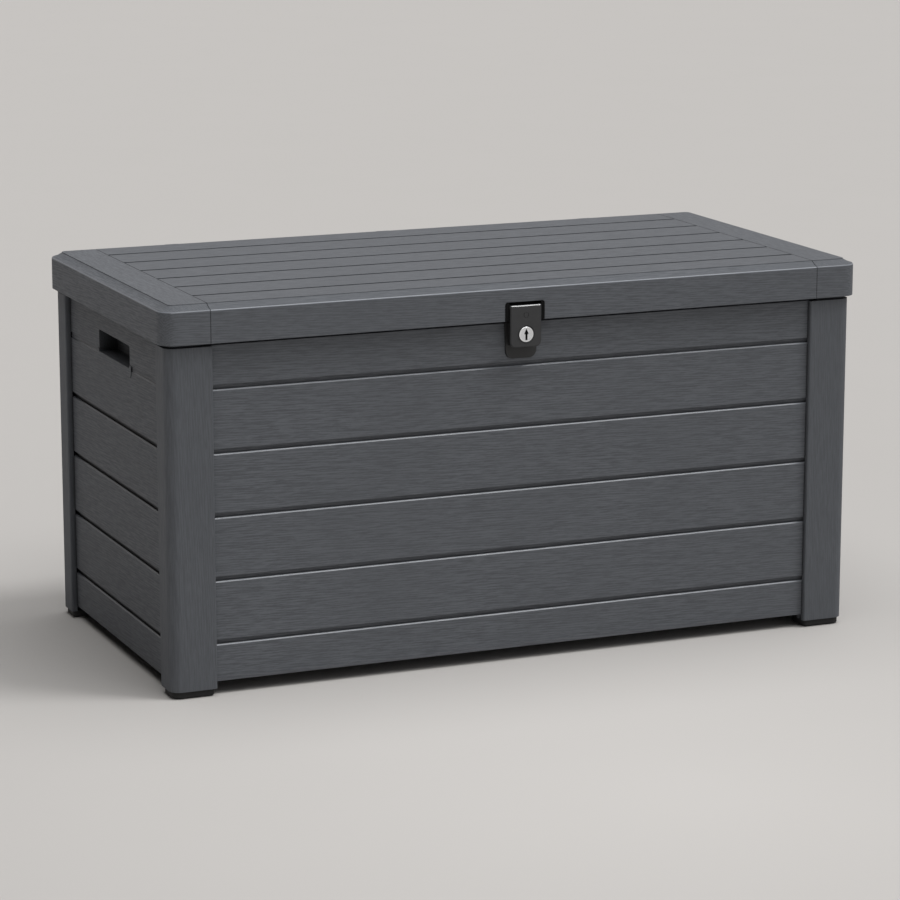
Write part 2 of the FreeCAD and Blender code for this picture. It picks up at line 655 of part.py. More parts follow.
def lid_block(inset):
    """Solid of the lid's outline, drawn in from its outer surface by the inset.

    The edge runs up the skirt, over a rounded arris and a hollow bevel, to a small step
    under the top.
    """
    half_x = LID_WIDTH / 2 - inset
    half_y = LID_DEPTH / 2 - inset
    radius = LID_CORNER_RADIUS - inset
    top = HEIGHT - inset
    arris = HEIGHT - BEVEL_HEIGHT - inset
    bevel = BEVEL_WIDTH
    hollow = (-bevel / 2, (arris + top - BEVEL_STEP) / 2 - BEVEL_HOLLOW)
    section = [(0.0, SKIRT_BOTTOM), (0.0, arris), hollow, (-bevel, top - BEVEL_STEP), (-bevel, top)]
    section += [(-radius, top), (-radius, SKIRT_BOTTOM)]
    radii = [0.0, BEVEL_ARRIS_RADIUS, BEVEL_HOLLOW_RADIUS, 0.0, 0.0, 0.0, 0.0]
    core_x = half_x - radius
    core_y = half_y - radius
    shapes = [block((-core_x, core_x), (-core_y, core_y), (SKIRT_BOTTOM, top))]
    along_x = [FreeCAD.Vector(-core_x, -core_y - radius - u, z) for u, z in section]
    side = Part.Face(rounded_outline(along_x, radii)).extrude(X_AXIS * 2 * core_x)
    along_y = [FreeCAD.Vector(core_x + radius + u, -core_y, z) for u, z in section]
    end = Part.Face(rounded_outline(along_y, radii)).extrude(Y_AXIS * 2 * core_y)
    turn = [FreeCAD.Vector(core_x + radius + u, core_y, z) for u, z in section]
    corner = Part.Face(rounded_outline(turn, radii)).revolve(FreeCAD.Vector(core_x, core_y, 0), Z_AXIS, 90)
    shapes += [side, mirrored_y(side), end, mirrored_x(end)]
    shapes += [corner, mirrored_x(corner), mirrored_y(corner), mirrored_x(mirrored_y(corner))]
    return fused(shapes)


def lid_groove_lines():
    """Middle of each groove between the lid's boards, across the depth."""
    half_field = LID_DEPTH / 2 - BEVEL_WIDTH - LID_BOARD_PITCH / 2
    pairs = int(half_field // LID_BOARD_PITCH) + 1
    lines = []
    for index in range(pairs):
        offset = LID_BOARD_PITCH * (index + 0.5)
        lines += [-offset, offset]
    return lines


def rib_limits(centre):
    return (centre - LID_RIB_THICKNESS / 2, centre + LID_RIB_THICKNESS / 2)


def lid_ribs():
    """Ribs under the lid: the seat ring over the walls, cross ribs, and flanges at the seams."""
    outer_x = SEAT_RIB_X + LID_RIB_THICKNESS / 2
    ribs = []
    for side in (-1, 1):
        ribs.append(block((-outer_x, outer_x), rib_limits(side * SEAT_RIB_Y), RIB_Z))
        ribs.append(block(rib_limits(side * SEAT_RIB_X), (-SEAT_RIB_Y, SEAT_RIB_Y), RIB_Z))
        seam = (side * SEAM_X - LID_RIB_THICKNESS, side * SEAM_X + LID_RIB_THICKNESS)
        ribs.append(block(seam, (-SEAT_RIB_Y, SEAT_RIB_Y), RIB_Z))
        for y in seam_screw_lines():
            ribs.append(block(tuple(sorted((side * SEAM_X, side * SEAT_RIB_X))), rib_limits(y), RIB_Z))
    spacing = 2 * SEAM_X / (LID_RIB_COUNT + 1)
    for index in range(LID_RIB_COUNT):
        ribs.append(block(rib_limits(-SEAM_X + spacing * (index + 1)), (-SEAT_RIB_Y, SEAT_RIB_Y), RIB_Z))
    return ribs


def lid_rails():
    """Thickened strips under the grooves, so that the lid's wall stays whole."""
    half = LID_GROOVE_WIDTH / 2 + LID_WALL
    z_limits = (LID_UNDERSIDE - LID_GROOVE_DEPTH, LID_UNDERSIDE + WELD)
    return [block((-SEAM_X, SEAM_X), (y - half, y + half), z_limits) for y in lid_groove_lines()]


def lid_groove_cuts():
    """Grooves between boards, each with a rounded end at the seams."""
    half = LID_GROOVE_WIDTH / 2
    cuts = []
    for y in lid_groove_lines():
        corners = [(-SEAM_X, y - half), (SEAM_X, y - half), (SEAM_X, y + half), (-SEAM_X, y + half)]
        z_limits = (HEIGHT - LID_GROOVE_DEPTH, HEIGHT + LID_WALL)
        cuts.append(plan_prism(corners, [LID_GROOVE_END_RADIUS] * 4, z_limits))
    return cuts


def seam_screw_lines():
    """Places of the seam screws across the depth."""
    pitch = 2 * SEAT_RIB_Y / SEAM_SCREW_COUNT
    return [pitch * (index - (SEAM_SCREW_COUNT - 1) / 2) for index in range(SEAM_SCREW_COUNT)]


def lid_tube_holes():
    radius = TUBE_RADIUS + TUBE_CLEARANCE
    holes = []
    for y in (-TUBE_SPREAD / 2, TUBE_SPREAD / 2):
        holes.append(rod(radius, FreeCAD.Vector(-SEAM_X, y, TUBE_Z), FreeCAD.Vector(SEAM_X, y, TUBE_Z)))
    return holes


def notch_prism(clearance, y_limits):
    """Opening for the lock in the front skirt, drawn in by the clearance."""
    half = NOTCH_WIDTH / 2 - clearance
    top = NOTCH_TOP - clearance
    corners = [(-half, SKIRT_BOTTOM), (half, SKIRT_BOTTOM), (half, top), (-half, top)]
    return front_prism(corners, [0, 0, NOTCH_RADIUS, NOTCH_RADIUS], y_limits)


def whole_lid():
    """The lid before it is divided at its two seams."""
    post_clear_x = WALL_X + LID_WALL + REAR_SKIRT_CLEARANCE
    skirt_lift = HINGE_Z + KNUCKLE_RADIUS + REAR_SKIRT_CLEARANCE
    rear_relief = block((-post_clear_x, post_clear_x), (WALL_Y, SKIRT_Y), (SKIRT_BOTTOM, skirt_lift))
    shell = lid_block(0.0).cut([lid_block(LID_WALL), rear_relief])
    lid = fused([shell] + lid_ribs() + lid_rails() + lid_knuckles())
    seam_rings = []
    for side in (-1, 1):
        slab_x = (side * SEAM_X - SEAM_WIDTH / 2, side * SEAM_X + SEAM_WIDTH / 2)
        slab = block(slab_x, (-SKIRT_Y, SKIRT_Y), (SKIRT_BOTTOM, HEIGHT))
        seam_rings.append(slab.cut(lid_block(SEAM_DEPTH)))
    notch = notch_prism(0.0, (-SKIRT_Y, -SKIRT_Y + LID_WALL))
    return lid.cut([notch] + seam_rings + lid_groove_cuts() + lid_tube_holes() + hinge_bores())


def between(shape, left, right):
    """Part of the lid between two upright planes."""
    return shape.common(block((left, right), (-LID_DEPTH, LID_DEPTH), (0.0, 2 * HEIGHT)))


def seam_screw_seats(side):
    """Points on a seam flange, on the centre moulding's side, that carry the screw heads."""
    x = side * (SEAM_X - LID_RIB_THICKNESS)
    return [FreeCAD.Vector(x, y, TUBE_Z) for y in seam_screw_lines()]


def seam_screws():
    """Screws that join the three lid mouldings through the flanges at the seams."""
    screws = []
    for side in (-1, 1):
        for seat in seam_screw_seats(side):
            screws.append(pan_screw(seat, X_AXIS * side, SEAM_SCREW_LENGTH))
    return Part.makeCompound(screws)


def seam_screw_holes(side):
    return [screw_hole(seat, X_AXIS * side, SEAM_SCREW_LENGTH) for seat in seam_screw_seats(side)]


def lid_centre(lid):
    holes = seam_screw_holes(-1) + seam_screw_holes(1) + housing_screw_holes()
    return between(lid, -SEAM_X, SEAM_X).cut(holes)


def lid_end(lid, side):
    """End moulding of the lid, with a boss for each seam screw."""
    limits = sorted((side * SEAM_X, side * LID_WIDTH))
    end = between(lid, limits[0], limits[1])
    bosses = []
    for seat in seam_screw_seats(side):
        start = seat + X_AXIS * side * LID_RIB_THICKNESS
        reach = start + X_AXIS * side * (LID_RIB_THICKNESS + SEAM_BOSS_LENGTH)
        bosses.append(rod(SEAM_BOSS_RADIUS, start, reach))
    return fused([end] + bosses).cut(seam_screw_holes(side))


def lid_tube(y):
    """Steel stiffener tube threaded through the lid's cross ribs."""
    start = FreeCAD.Vector(-TUBE_END, y, TUBE_Z)
    end = FreeCAD.Vector(TUBE_END, y, TUBE_Z)
    return rod(TUBE_RADIUS, start, end).cut(rod(TUBE_RADIUS - TUBE_WALL, start, end))


# Lock

def flap_rod(radius, half_length):
    """Round bar on the flap's pivot."""
    start = FreeCAD.Vector(-half_length, PIVOT_Y, PIVOT_Z)
    return rod(radius, start, FreeCAD.Vector(half_length, PIVOT_Y, PIVOT_Z))


def housing_screw_seats():
    """Seats of the two screws that hold the housing to the inside of the skirt."""
    level = HOUSING_TOP - SCREW_HEAD_RADIUS
    back = HOUSING_FRONT_Y + HOUSING_WALL
    return [FreeCAD.Vector(side * POCKET_HALF / 2, back, level) for side in (-1, 1)]


def housing_screws():
    screws = [pan_screw(seat, Y_AXIS * -1, HOUSING_SCREW_LENGTH) for seat in housing_screw_seats()]
    return Part.makeCompound(screws)


def housing_screw_holes():
    return [screw_hole(seat, Y_AXIS * -1, HOUSING_SCREW_LENGTH) for seat in housing_screw_seats()]


def lock_housing():
    """Black housing behind the notch: a cup for the flap's barrel, with side bars that hold its pin."""
    half = HOUSING_HALF
    front = -SKIRT_Y - HOUSING_PROUD
    cup_outline = [(-half, HOUSING_BOTTOM), (half, HOUSING_BOTTOM), (half, CUP_TOP), (-half, CUP_TOP)]
    cup = front_prism(cup_outline, [HOUSING_WALL] * 4, (HOUSING_FRONT_Y, HOUSING_BACK_Y))
    tab_half = POCKET_HALF / 2 + SCREW_HEAD_RADIUS + HOUSING_WALL
    tab_outline = [(-tab_half, NOTCH_TOP), (tab_half, NOTCH_TOP)]
    tab_outline += [(tab_half, HOUSING_TOP), (-tab_half, HOUSING_TOP)]
    tab_y = (HOUSING_FRONT_Y, HOUSING_FRONT_Y + HOUSING_WALL)
    tab = front_prism(tab_outline, [0, 0, HOUSING_WALL, HOUSING_WALL], tab_y)
    frame = notch_prism(TONGUE_CLEARANCE, (front, HOUSING_FRONT_Y))
    frame = frame.common(block((-half, half), (front, HOUSING_FRONT_Y), (HOUSING_BOTTOM, HEIGHT)))
    pocket_z = (HOUSING_BOTTOM + HOUSING_WALL, NOTCH_TOP - TONGUE_CLEARANCE)
    pocket = block((-POCKET_HALF, POCKET_HALF), (HOUSING_FRONT_Y, HOUSING_BACK_Y - HOUSING_WALL), pocket_z)
    window = block((-POCKET_HALF, POCKET_HALF), (front, HOUSING_FRONT_Y), (HOUSING_BOTTOM, NOTCH_TOP))
    pin_hole = flap_rod(FLAP_PIN_RADIUS + PIN_CLEARANCE, NOTCH_WIDTH / 2)
    body = fused([cup, tab, frame])
    return body.cut([pocket, window, pin_hole] + housing_screw_holes())


def flap_pin():
    return flap_rod(FLAP_PIN_RADIUS, NOTCH_WIDTH / 2 - HOUSING_WALL / 2)


def lock_flap():
    """Flap over the lock: rounded bottom corners, chamfered top edge, pivot barrel and lock seat."""
    half = FLAP_WIDTH / 2
    corners = [(-half, FLAP_BOTTOM), (half, FLAP_BOTTOM), (half, FLAP_TOP), (-half, FLAP_TOP)]
    radii = [FLAP_CORNER_RADIUS] * 2 + [FLAP_TOP_CORNER_RADIUS] * 2
    plate = front_prism(corners, radii, (FLAP_FACE_Y, FLAP_BACK_Y))
    face_edges = []
    for edge in plate.Edges:
        if edge.BoundBox.YMax < FLAP_FACE_Y + TOUCH:
            face_edges.append(edge)
    plate = plate.makeChamfer(FLAP_CHAMFER, face_edges)
    web_y = (FLAP_BACK_Y - WELD, PIVOT_Y)
    web_z = (PIVOT_Z - FLAP_BARREL_RADIUS, PIVOT_Z + FLAP_BARREL_RADIUS)
    web = block((-half, half), web_y, web_z)
    flap = fused([plate, flap_rod(FLAP_BARREL_RADIUS, half), web])
    recess = lock_rod(LOCK_RECESS_RADIUS, FLAP_FACE_Y, LOCK_SEAT_Y)
    bore = lock_rod(LOCK_THREAD_RADIUS + PLUG_CLEARANCE, FLAP_FACE_Y, FLAP_BACK_Y)
    pin_bore = flap_rod(FLAP_PIN_RADIUS + PIN_CLEARANCE, half)
    return flap.cut([recess, bore, button_ring(), pin_bore])


def button_ring():
    """Shallow ring around a plain round button above the lock."""
    start = FreeCAD.Vector(0.0, FLAP_FACE_Y, BUTTON_LEVEL)
    end = FreeCAD.Vector(0.0, FLAP_FACE_Y + BUTTON_RING_DEPTH, BUTTON_LEVEL)
    return rod(BUTTON_RADIUS + BUTTON_RING_WIDTH, start, end).cut(rod(BUTTON_RADIUS, start, end))


def lock_rod(radius, front, back):
    """Round bar on the lock's axis."""
    return rod(radius, FreeCAD.Vector(0.0, front, LOCK_LEVEL), FreeCAD.Vector(0.0, back, LOCK_LEVEL))


def lock_body():
    """Turned cylinder of the lock, with a bright raised face and a threaded barrel."""
    face = lock_rod(LOCK_FACE_RADIUS, LOCK_FACE_Y, LOCK_SEAT_Y)
    rim = [edge for edge in face.Edges if edge.Closed and edge.BoundBox.YMax < LOCK_FACE_Y + TOUCH]
    face = face.makeFillet(LOCK_FACE_FILLET, rim)
    thread = lock_rod(LOCK_THREAD_RADIUS, LOCK_SEAT_Y, THREAD_END_Y)
    bore = lock_rod(PLUG_CORE_RADIUS + PLUG_CLEARANCE, LOCK_FACE_Y, THREAD_END_Y)
    seat_y = PLUG_FRONT_Y + PLUG_FACE_THICKNESS + PLUG_CLEARANCE
    face_seat = lock_rod(PLUG_FACE_RADIUS + PLUG_CLEARANCE, LOCK_FACE_Y, seat_y)
    return fused([face, thread]).cut([bore, face_seat])


def lock_plug():
    """Turning core of the lock, with a wide face that has an arrow-shaped keyway."""
    face = lock_rod(PLUG_FACE_RADIUS, PLUG_FRONT_Y, PLUG_FRONT_Y + PLUG_FACE_THICKNESS)
    core = lock_rod(PLUG_CORE_RADIUS, PLUG_FRONT_Y, CAM_FRONT_Y)
    drive = lock_rod(CAM_SEAT_RADIUS, CAM_FRONT_Y, CAM_BACK_Y)
    half = KEYWAY_WIDTH / 2
    wing = ARROW_WIDTH / 2
    low = LOCK_LEVEL - KEYWAY_HEIGHT / 2
    high = LOCK_LEVEL + KEYWAY_HEIGHT / 2
    neck = high - ARROW_HEIGHT
    arrow = [(-half, low), (half, low), (half, neck), (wing, neck)]
    arrow += [(0.0, high), (-wing, neck), (-half, neck)]
    keyway = front_prism(arrow, [0.0] * len(arrow), (PLUG_FRONT_Y, PLUG_FRONT_Y + KEYWAY_DEPTH))
    return fused([face, core, drive]).cut(keyway)


def lock_nut():
    """Hexagon nut that holds the lock in the flap."""
    reach = NUT_ACROSS_FLATS / math.sqrt(3)
    angles = [math.radians(60 * index) for index in range(6)]
    corners = [(reach * math.cos(angle), LOCK_LEVEL + reach * math.sin(angle)) for angle in angles]
    back = FLAP_BACK_Y + NUT_THICKNESS
    hexagon = front_prism(corners, [0.0] * 6, (FLAP_BACK_Y, back))
    return hexagon.cut(lock_rod(LOCK_THREAD_RADIUS + PLUG_CLEARANCE, FLAP_BACK_Y, back))


def lock_cam():
    """Flat cam on the end of the plug, pointing up at rest."""
    half = CAM_WIDTH / 2
    corners = [(-half, LOCK_LEVEL - half), (half, LOCK_LEVEL - half)]
    corners += [(half, LOCK_LEVEL + CAM_LENGTH), (-half, LOCK_LEVEL + CAM_LENGTH)]
    radii = [CAM_CORNER_RADIUS] * 2 + [CAM_TIP_RADIUS] * 2
    blade = front_prism(corners, radii, (CAM_FRONT_Y, CAM_BACK_Y))
    return blade.cut(lock_rod(CAM_SEAT_RADIUS, CAM_FRONT_Y, CAM_BACK_Y))


def catch_screw_seats():
    """Seats, on the inner side of the front wall's skin, of the screws that hold the catch."""
    level = (CATCH_TOP + CATCH_BOTTOM) / 2
    back = -WALL_Y + WALL_SKIN
    return [FreeCAD.Vector(side * CATCH_SCREW_SPACING / 2, back, level) for side in (-1, 1)]


def catch_screws():
    screws = [pan_screw(seat, Y_AXIS * -1, CATCH_SCREW_LENGTH) for seat in catch_screw_seats()]
    return Part.makeCompound(screws)


def lock_catch():
    """Catch plate on the front wall, with two cheeks that the flap rests on and the cam turns between."""
    top_half = CATCH_TOP_WIDTH / 2
    bottom_half = CATCH_BOTTOM_WIDTH / 2
    corners = [(-bottom_half, CATCH_BOTTOM), (bottom_half, CATCH_BOTTOM)]
    corners += [(top_half, CATCH_TOP), (-top_half, CATCH_TOP)]
    radii = [CATCH_CORNER_RADIUS, CATCH_CORNER_RADIUS, 0.0, 0.0]
    shapes = [front_prism(corners, radii, (-WALL_Y - CATCH_THICKNESS, -WALL_Y))]
    for side in (-1, 1):
        near = side * CHEEK_SPACING / 2
        limits = tuple(sorted((near, near + side * CHEEK_THICKNESS)))
        cheek_y = (FLAP_BACK_Y + FLAP_SEAT_GAP, -WALL_Y)
        shapes.append(block(limits, cheek_y, (CATCH_TOP - CHEEK_HEIGHT, CATCH_TOP)))
    holes = [screw_hole(seat, Y_AXIS * -1, CATCH_SCREW_LENGTH) for seat in catch_screw_seats()]
    return fused(shapes).cut(holes)


def build():
    """Every sub-part under its own name."""
    post = corner_post()
    pad = foot()
    side = side_panel()
    lid = whole_lid()
    nodes = {
        "floor_panel": floor_panel(),
        "front_panel": front_panel(),
        "rear_panel": rear_panel(),
        "left_side_panel": side,
        "right_side_panel": mirrored_x(side),
        "wall_screws": all_wall_screws(),
        "hinge_pins": hinge_pins(),
        "lid_centre": lid_centre(lid),
        "lid_end_left": lid_end(lid, -1),
        "lid_end_right": lid_end(lid, 1),
        "lid_tube_front": lid_tube(-TUBE_SPREAD / 2),
        "lid_tube_rear": lid_tube(TUBE_SPREAD / 2),
        "lid_seam_screws": seam_screws(),
        "lock_housing": lock_housing(),
        "lock_housing_screws": housing_screws(),
        "lock_flap": lock_flap(),
        "lock_flap_pin": flap_pin(),
        "lock_body": lock_body(),
        "lock_plug": lock_plug(),
        "lock_nut": lock_nut(),
        "lock_cam": lock_cam(),
        "lock_catch": lock_catch(),
        "lock_catch_screws": catch_screws(),
    }
    corners = {
        "front_left": lambda shape: shape,
        "front_right": mirrored_x,
        "rear_left": mirrored_y,
        "rear_right": lambda shape: mirrored_x(mirrored_y(shape)),
    }
    for corner, place in corners.items():
        nodes["corner_post_" + corner] = place(post)
        nodes["foot_" + corner] = place(pad)
    return nodes


os.makedirs("parts", exist_ok=True)
for name, shape in build().items():
    shape.exportStep("parts/" + name + ".step")
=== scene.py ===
import bpy
import bmesh
import math
from mathutils import Matrix, Vector


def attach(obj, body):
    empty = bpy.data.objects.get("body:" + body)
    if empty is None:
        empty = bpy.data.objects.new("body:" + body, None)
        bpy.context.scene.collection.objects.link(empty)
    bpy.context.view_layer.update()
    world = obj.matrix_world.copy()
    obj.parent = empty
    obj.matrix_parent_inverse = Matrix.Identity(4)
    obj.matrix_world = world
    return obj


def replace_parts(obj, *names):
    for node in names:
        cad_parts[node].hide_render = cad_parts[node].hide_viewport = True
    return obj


bl_info = {
    "name": "Outdoor Storage Box",
    "version": (1, 0, 0),
    "blender": (4, 5, 0),
    "location": "3D View > Sidebar > Storage Box",
    "description": "Dresses the frame of an outdoor storage box with its finishes and fasteners",
    "category": "Object",
}

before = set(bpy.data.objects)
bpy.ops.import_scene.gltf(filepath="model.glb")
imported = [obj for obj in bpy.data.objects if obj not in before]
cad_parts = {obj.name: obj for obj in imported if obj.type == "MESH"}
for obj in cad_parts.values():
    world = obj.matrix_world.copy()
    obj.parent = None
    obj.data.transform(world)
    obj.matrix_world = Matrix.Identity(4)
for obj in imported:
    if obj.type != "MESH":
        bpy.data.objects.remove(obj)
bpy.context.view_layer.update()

MM = 0.001


def linear(hex_colour):
    """The linear RGB of an sRGB hex colour."""
    channels = []
    for index in (0, 2, 4):
        value = int(hex_colour[index:index + 2], 16) / 255
        channels.append(value / 12.92 if value <= 0.04045 else ((value + 0.055) / 1.055) ** 2.4)
    return tuple(channels)


class StorageBoxSizes(bpy.types.PropertyGroup):
    grain_pitch: bpy.props.FloatProperty(
        name="Grain pitch", description="Spacing of the moulded wood grain across the boards",
        default=4.2 * MM, min=0.5 * MM, max=20 * MM, unit="LENGTH")
    grain_length: bpy.props.FloatProperty(
        name="Grain length", description="Length of a line of the moulded wood grain",
        default=26 * MM, min=5 * MM, max=300 * MM, unit="LENGTH")
    grain_depth: bpy.props.FloatProperty(
        name="Grain depth", description="Depth of the moulded wood grain",
        default=0.16 * MM, min=0.0, max=1 * MM, unit="LENGTH")
    edge_radius: bpy.props.FloatProperty(
        name="Edge radius", description="Softening of the moulded edges",
        default=0.9 * MM, min=0.0, max=3 * MM, unit="LENGTH")
    thread_pitch: bpy.props.FloatProperty(
        name="Thread pitch", description="Pitch of the screws' coarse thread",
        default=1.6 * MM, min=0.5 * MM, max=3 * MM, unit="LENGTH")


class StorageBoxColours(bpy.types.PropertyGroup):
    resin: bpy.props.FloatVectorProperty(
        name="Resin", description="Colour of the grey boards, posts and lid",
        subtype="COLOR", size=3, min=0.0, max=1.0, default=linear("62656A"))
    black_resin: bpy.props.FloatVectorProperty(
        name="Black resin", description="Colour of the lock's flap, housing and catch",
        subtype="COLOR", size=3, min=0.0, max=1.0, default=linear("2E2F31"))
    rubber: bpy.props.FloatVectorProperty(
        name="Feet", description="Colour of the feet",
        subtype="COLOR", size=3, min=0.0, max=1.0, default=linear("131314"))
    zinc: bpy.props.FloatVectorProperty(
        name="Zinc plating", description="Colour of the screws, pins and tubes",
        subtype="COLOR", size=3, min=0.0, max=1.0, default=linear("B4B4AF"))
    lock_metal: bpy.props.FloatVectorProperty(
        name="Lock metal", description="Colour of the lock's plated face",
        subtype="COLOR", size=3, min=0.0, max=1.0, default=linear("F2F4F7"))
    floor: bpy.props.FloatVectorProperty(
        name="Floor", description="Colour of the floor",
        subtype="COLOR", size=3, min=0.0, max=1.0, default=linear("C7C4C1"))
    backdrop: bpy.props.FloatVectorProperty(
        name="Backdrop", description="Colour behind the floor",
        subtype="COLOR", size=3, min=0.0, max=1.0, default=linear("C7C3C0"))


def add(tree, kind, inputs, **settings):
    """Adds a node with its settings; inputs takes numbers, colours and the sockets to link.
    A Mix node's sockets go by index: 0 is the factor, 2 and 3 are its two numbers with output
    0, and 6 and 7 its two colours with output 2."""
    node = tree.nodes.new(kind)
    for name, value in settings.items():
        setattr(node, name, value)
    for key, value in inputs.items():
        if isinstance(value, bpy.types.NodeSocket):
            tree.links.new(value, node.inputs[key])
        else:
            node.inputs[key].default_value = value
    return node


def new_material(name):
    """An empty node material and its node tree."""
    material = bpy.data.materials.new(name)
    material.use_nodes = True
    material.node_tree.nodes.clear()
    return material, material.node_tree


def toned(factor, colour):
    """A colour made paler or darker."""
    return tuple(min(1.0, channel * factor) for channel in colour)


def scaled(factor, colour):
    """The same with an opaque alpha, as colour sockets take it."""
    return toned(factor, colour) + (1.0,)


def polish_and_highlight_slopes(tree, place):
    """From 0 on flat and upright faces to 1 on chamfers and rounded edges that face upwards.
    They are drawn smoother there, and paler: the paler colour is a painted highlight."""
    # The normal's Z is 0 on upright faces and 1 on flat ones.
    facing = add(tree, "ShaderNodeSeparateXYZ", {0: place.outputs["Normal"]})
    tilted = add(tree, "ShaderNodeMapRange", {
        "Value": facing.outputs[2], "From Min": 0.15, "From Max": 0.35})
    sloping = add(tree, "ShaderNodeMapRange", {
        "Value": facing.outputs[2], "From Min": 0.84, "From Max": 0.74})
    return add(tree, "ShaderNodeMath", {
        0: tilted.outputs[0], 1: sloping.outputs[0]}, operation="MULTIPLY").outputs[0]


def painted_shade_corners(tree, reach):
    """From 0 on open faces to 1 deep in grooves and pockets. The darker colour there is
    painted shade."""
    outward = add(tree, "ShaderNodeAmbientOcclusion", {"Distance": reach}, samples=6)
    return add(tree, "ShaderNodeMapRange", {
        "Value": outward.outputs["AO"], "From Min": 0.85, "From Max": 0.35}).outputs[0]


# The scale for one wave per unit: diagonal waves at scale 1 turn through 10 radians per unit.
ONE_WAVE_PER_UNIT = 2 * math.pi / 10
POLYPROPYLENE_IOR = 1.49
RUBBER_IOR = 1.52


def grain_height(tree, coordinates, along):
    """Height of the moulded grain, about 0.5 to 1.05, with its lines along one axis."""
    sizes = bpy.context.scene.storage_box_sizes

    def stretched(pitch, length):
        scale = [1 / length if axis == along else 1 / pitch for axis in "XYZ"]
        return add(tree, "ShaderNodeMapping", {"Vector": coordinates, "Scale": scale}).outputs[0]

    lines = add(tree, "ShaderNodeTexNoise", {
        "Vector": stretched(sizes.grain_pitch / 2, sizes.grain_length),
        "Scale": 1.0, "Detail": 4.0, "Roughness": 0.6, "Distortion": 0.15})
    ripples = add(tree, "ShaderNodeTexWave", {
        "Vector": stretched(sizes.grain_pitch, sizes.grain_length * 4),
        "Scale": ONE_WAVE_PER_UNIT, "Distortion": 7.0, "Detail": 2.0, "Detail Scale": 1.2,
        "Detail Roughness": 0.6}, bands_direction="DIAGONAL")
    fibres = add(tree, "ShaderNodeTexNoise", {
        "Vector": stretched(sizes.grain_pitch / 4, sizes.grain_length / 3),
        "Scale": 1.0, "Detail": 2.0, "Roughness": 0.6, "Distortion": 0.0})
    with_ripples = add(tree, "ShaderNodeMath", {
        0: ripples.outputs[1], 1: 0.2, 2: lines.outputs[0]}, operation="MULTIPLY_ADD")
    height = add(tree, "ShaderNodeMath", {
        0: fibres.outputs[0], 1: 0.35, 2: with_ripples.outputs[0]}, operation="MULTIPLY_ADD")
    return height.outputs[0]


def wood_grain_resin(name, colour, along, along_front=None, shade_reach=8 * MM,
                     highlight_pale=1.8, contrast=0.19):
    """Injection-moulded polypropylene with a wood grain etched into the mould: a satin face
    whose fine wavy lines run along each board and catch the light a little.
    along_front gives the faces that look along Y a grain direction of their own, shade_reach
    is how far the painted shade in a groove reaches, highlight_pale is how much paler the
    painted highlight makes the upward slopes, and contrast is how far the grain's tone swings
    about the colour."""
    sizes = bpy.context.scene.storage_box_sizes
    material, tree = new_material(name)
    place = add(tree, "ShaderNodeTexCoord", {})
    height = grain_height(tree, place.outputs["Object"], along)
    if along_front:
        # The square of the normal's Y is over a half on faces that look along Y.
        facing = add(tree, "ShaderNodeSeparateXYZ", {0: place.outputs["Normal"]})
        square = add(tree, "ShaderNodeMath", {0: facing.outputs[1], 1: 2.0}, operation="POWER")
        front = add(tree, "ShaderNodeMath", {
            0: square.outputs[0], 1: 0.5}, operation="GREATER_THAN")
        height = add(tree, "ShaderNodeMix", {
            0: front.outputs[0], 2: height,
            3: grain_height(tree, place.outputs["Object"], along_front)}).outputs[0]
    # The resin is a touch darker in the grain's valleys and drifts slightly over a board, in
    # clouds of 167 mm.
    cloud = add(tree, "ShaderNodeTexNoise", {
        "Vector": place.outputs["Object"], "Scale": 1 / (167 * MM), "Detail": 2.0,
        "Roughness": 0.5})
    tone = add(tree, "ShaderNodeMapRange", {
        "Value": height, "From Min": 0.62, "From Max": 0.93})
    grained = add(tree, "ShaderNodeMix", {
        0: tone.outputs[0], 6: scaled(1.01 - contrast, colour),
        7: scaled(1.01 + contrast, colour)}, data_type="RGBA")
    drift = add(tree, "ShaderNodeMapRange", {
        "Value": cloud.outputs[0], "From Min": 0.3, "From Max": 0.7, "To Max": 0.35})
    shaded = add(tree, "ShaderNodeMix", {
        0: drift.outputs[0], 6: grained.outputs[2], 7: scaled(0.9, colour)}, data_type="RGBA")
    # Upward slopes are drawn paler, a painted highlight, and smoother.
    edge = polish_and_highlight_slopes(tree, place)
    highlighted = add(tree, "ShaderNodeMix", {
        0: edge, 6: shaded.outputs[2], 7: scaled(highlight_pale, colour)}, data_type="RGBA")
    # Grooves and pockets are darkened with painted shade.
    corner_shaded = add(tree, "ShaderNodeMix", {
        0: painted_shade_corners(tree, shade_reach), 6: highlighted.outputs[2], 7: scaled(0.12, colour)},
        data_type="RGBA")
    gloss = add(tree, "ShaderNodeMapRange", {
        "Value": height, "From Min": 0.5, "From Max": 1.05, "To Min": 0.68, "To Max": 0.56})
    polished = add(tree, "ShaderNodeMix", {0: edge, 2: gloss.outputs[0], 3: 0.25})
    soft_edge = add(tree, "ShaderNodeBevel", {"Radius": sizes.edge_radius}, samples=4)
    relief = add(tree, "ShaderNodeBump", {
        "Strength": 1.0, "Distance": sizes.grain_depth, "Height": height,
        "Normal": soft_edge.outputs[0]})
    shader = add(tree, "ShaderNodeBsdfPrincipled", {
        "Base Color": corner_shaded.outputs[2], "Roughness": polished.outputs[0],
        "IOR": POLYPROPYLENE_IOR, "Specular IOR Level": 0.2, "Normal": relief.outputs[0]})
    add(tree, "ShaderNodeOutputMaterial", {"Surface": shader.outputs[0]})
    return material


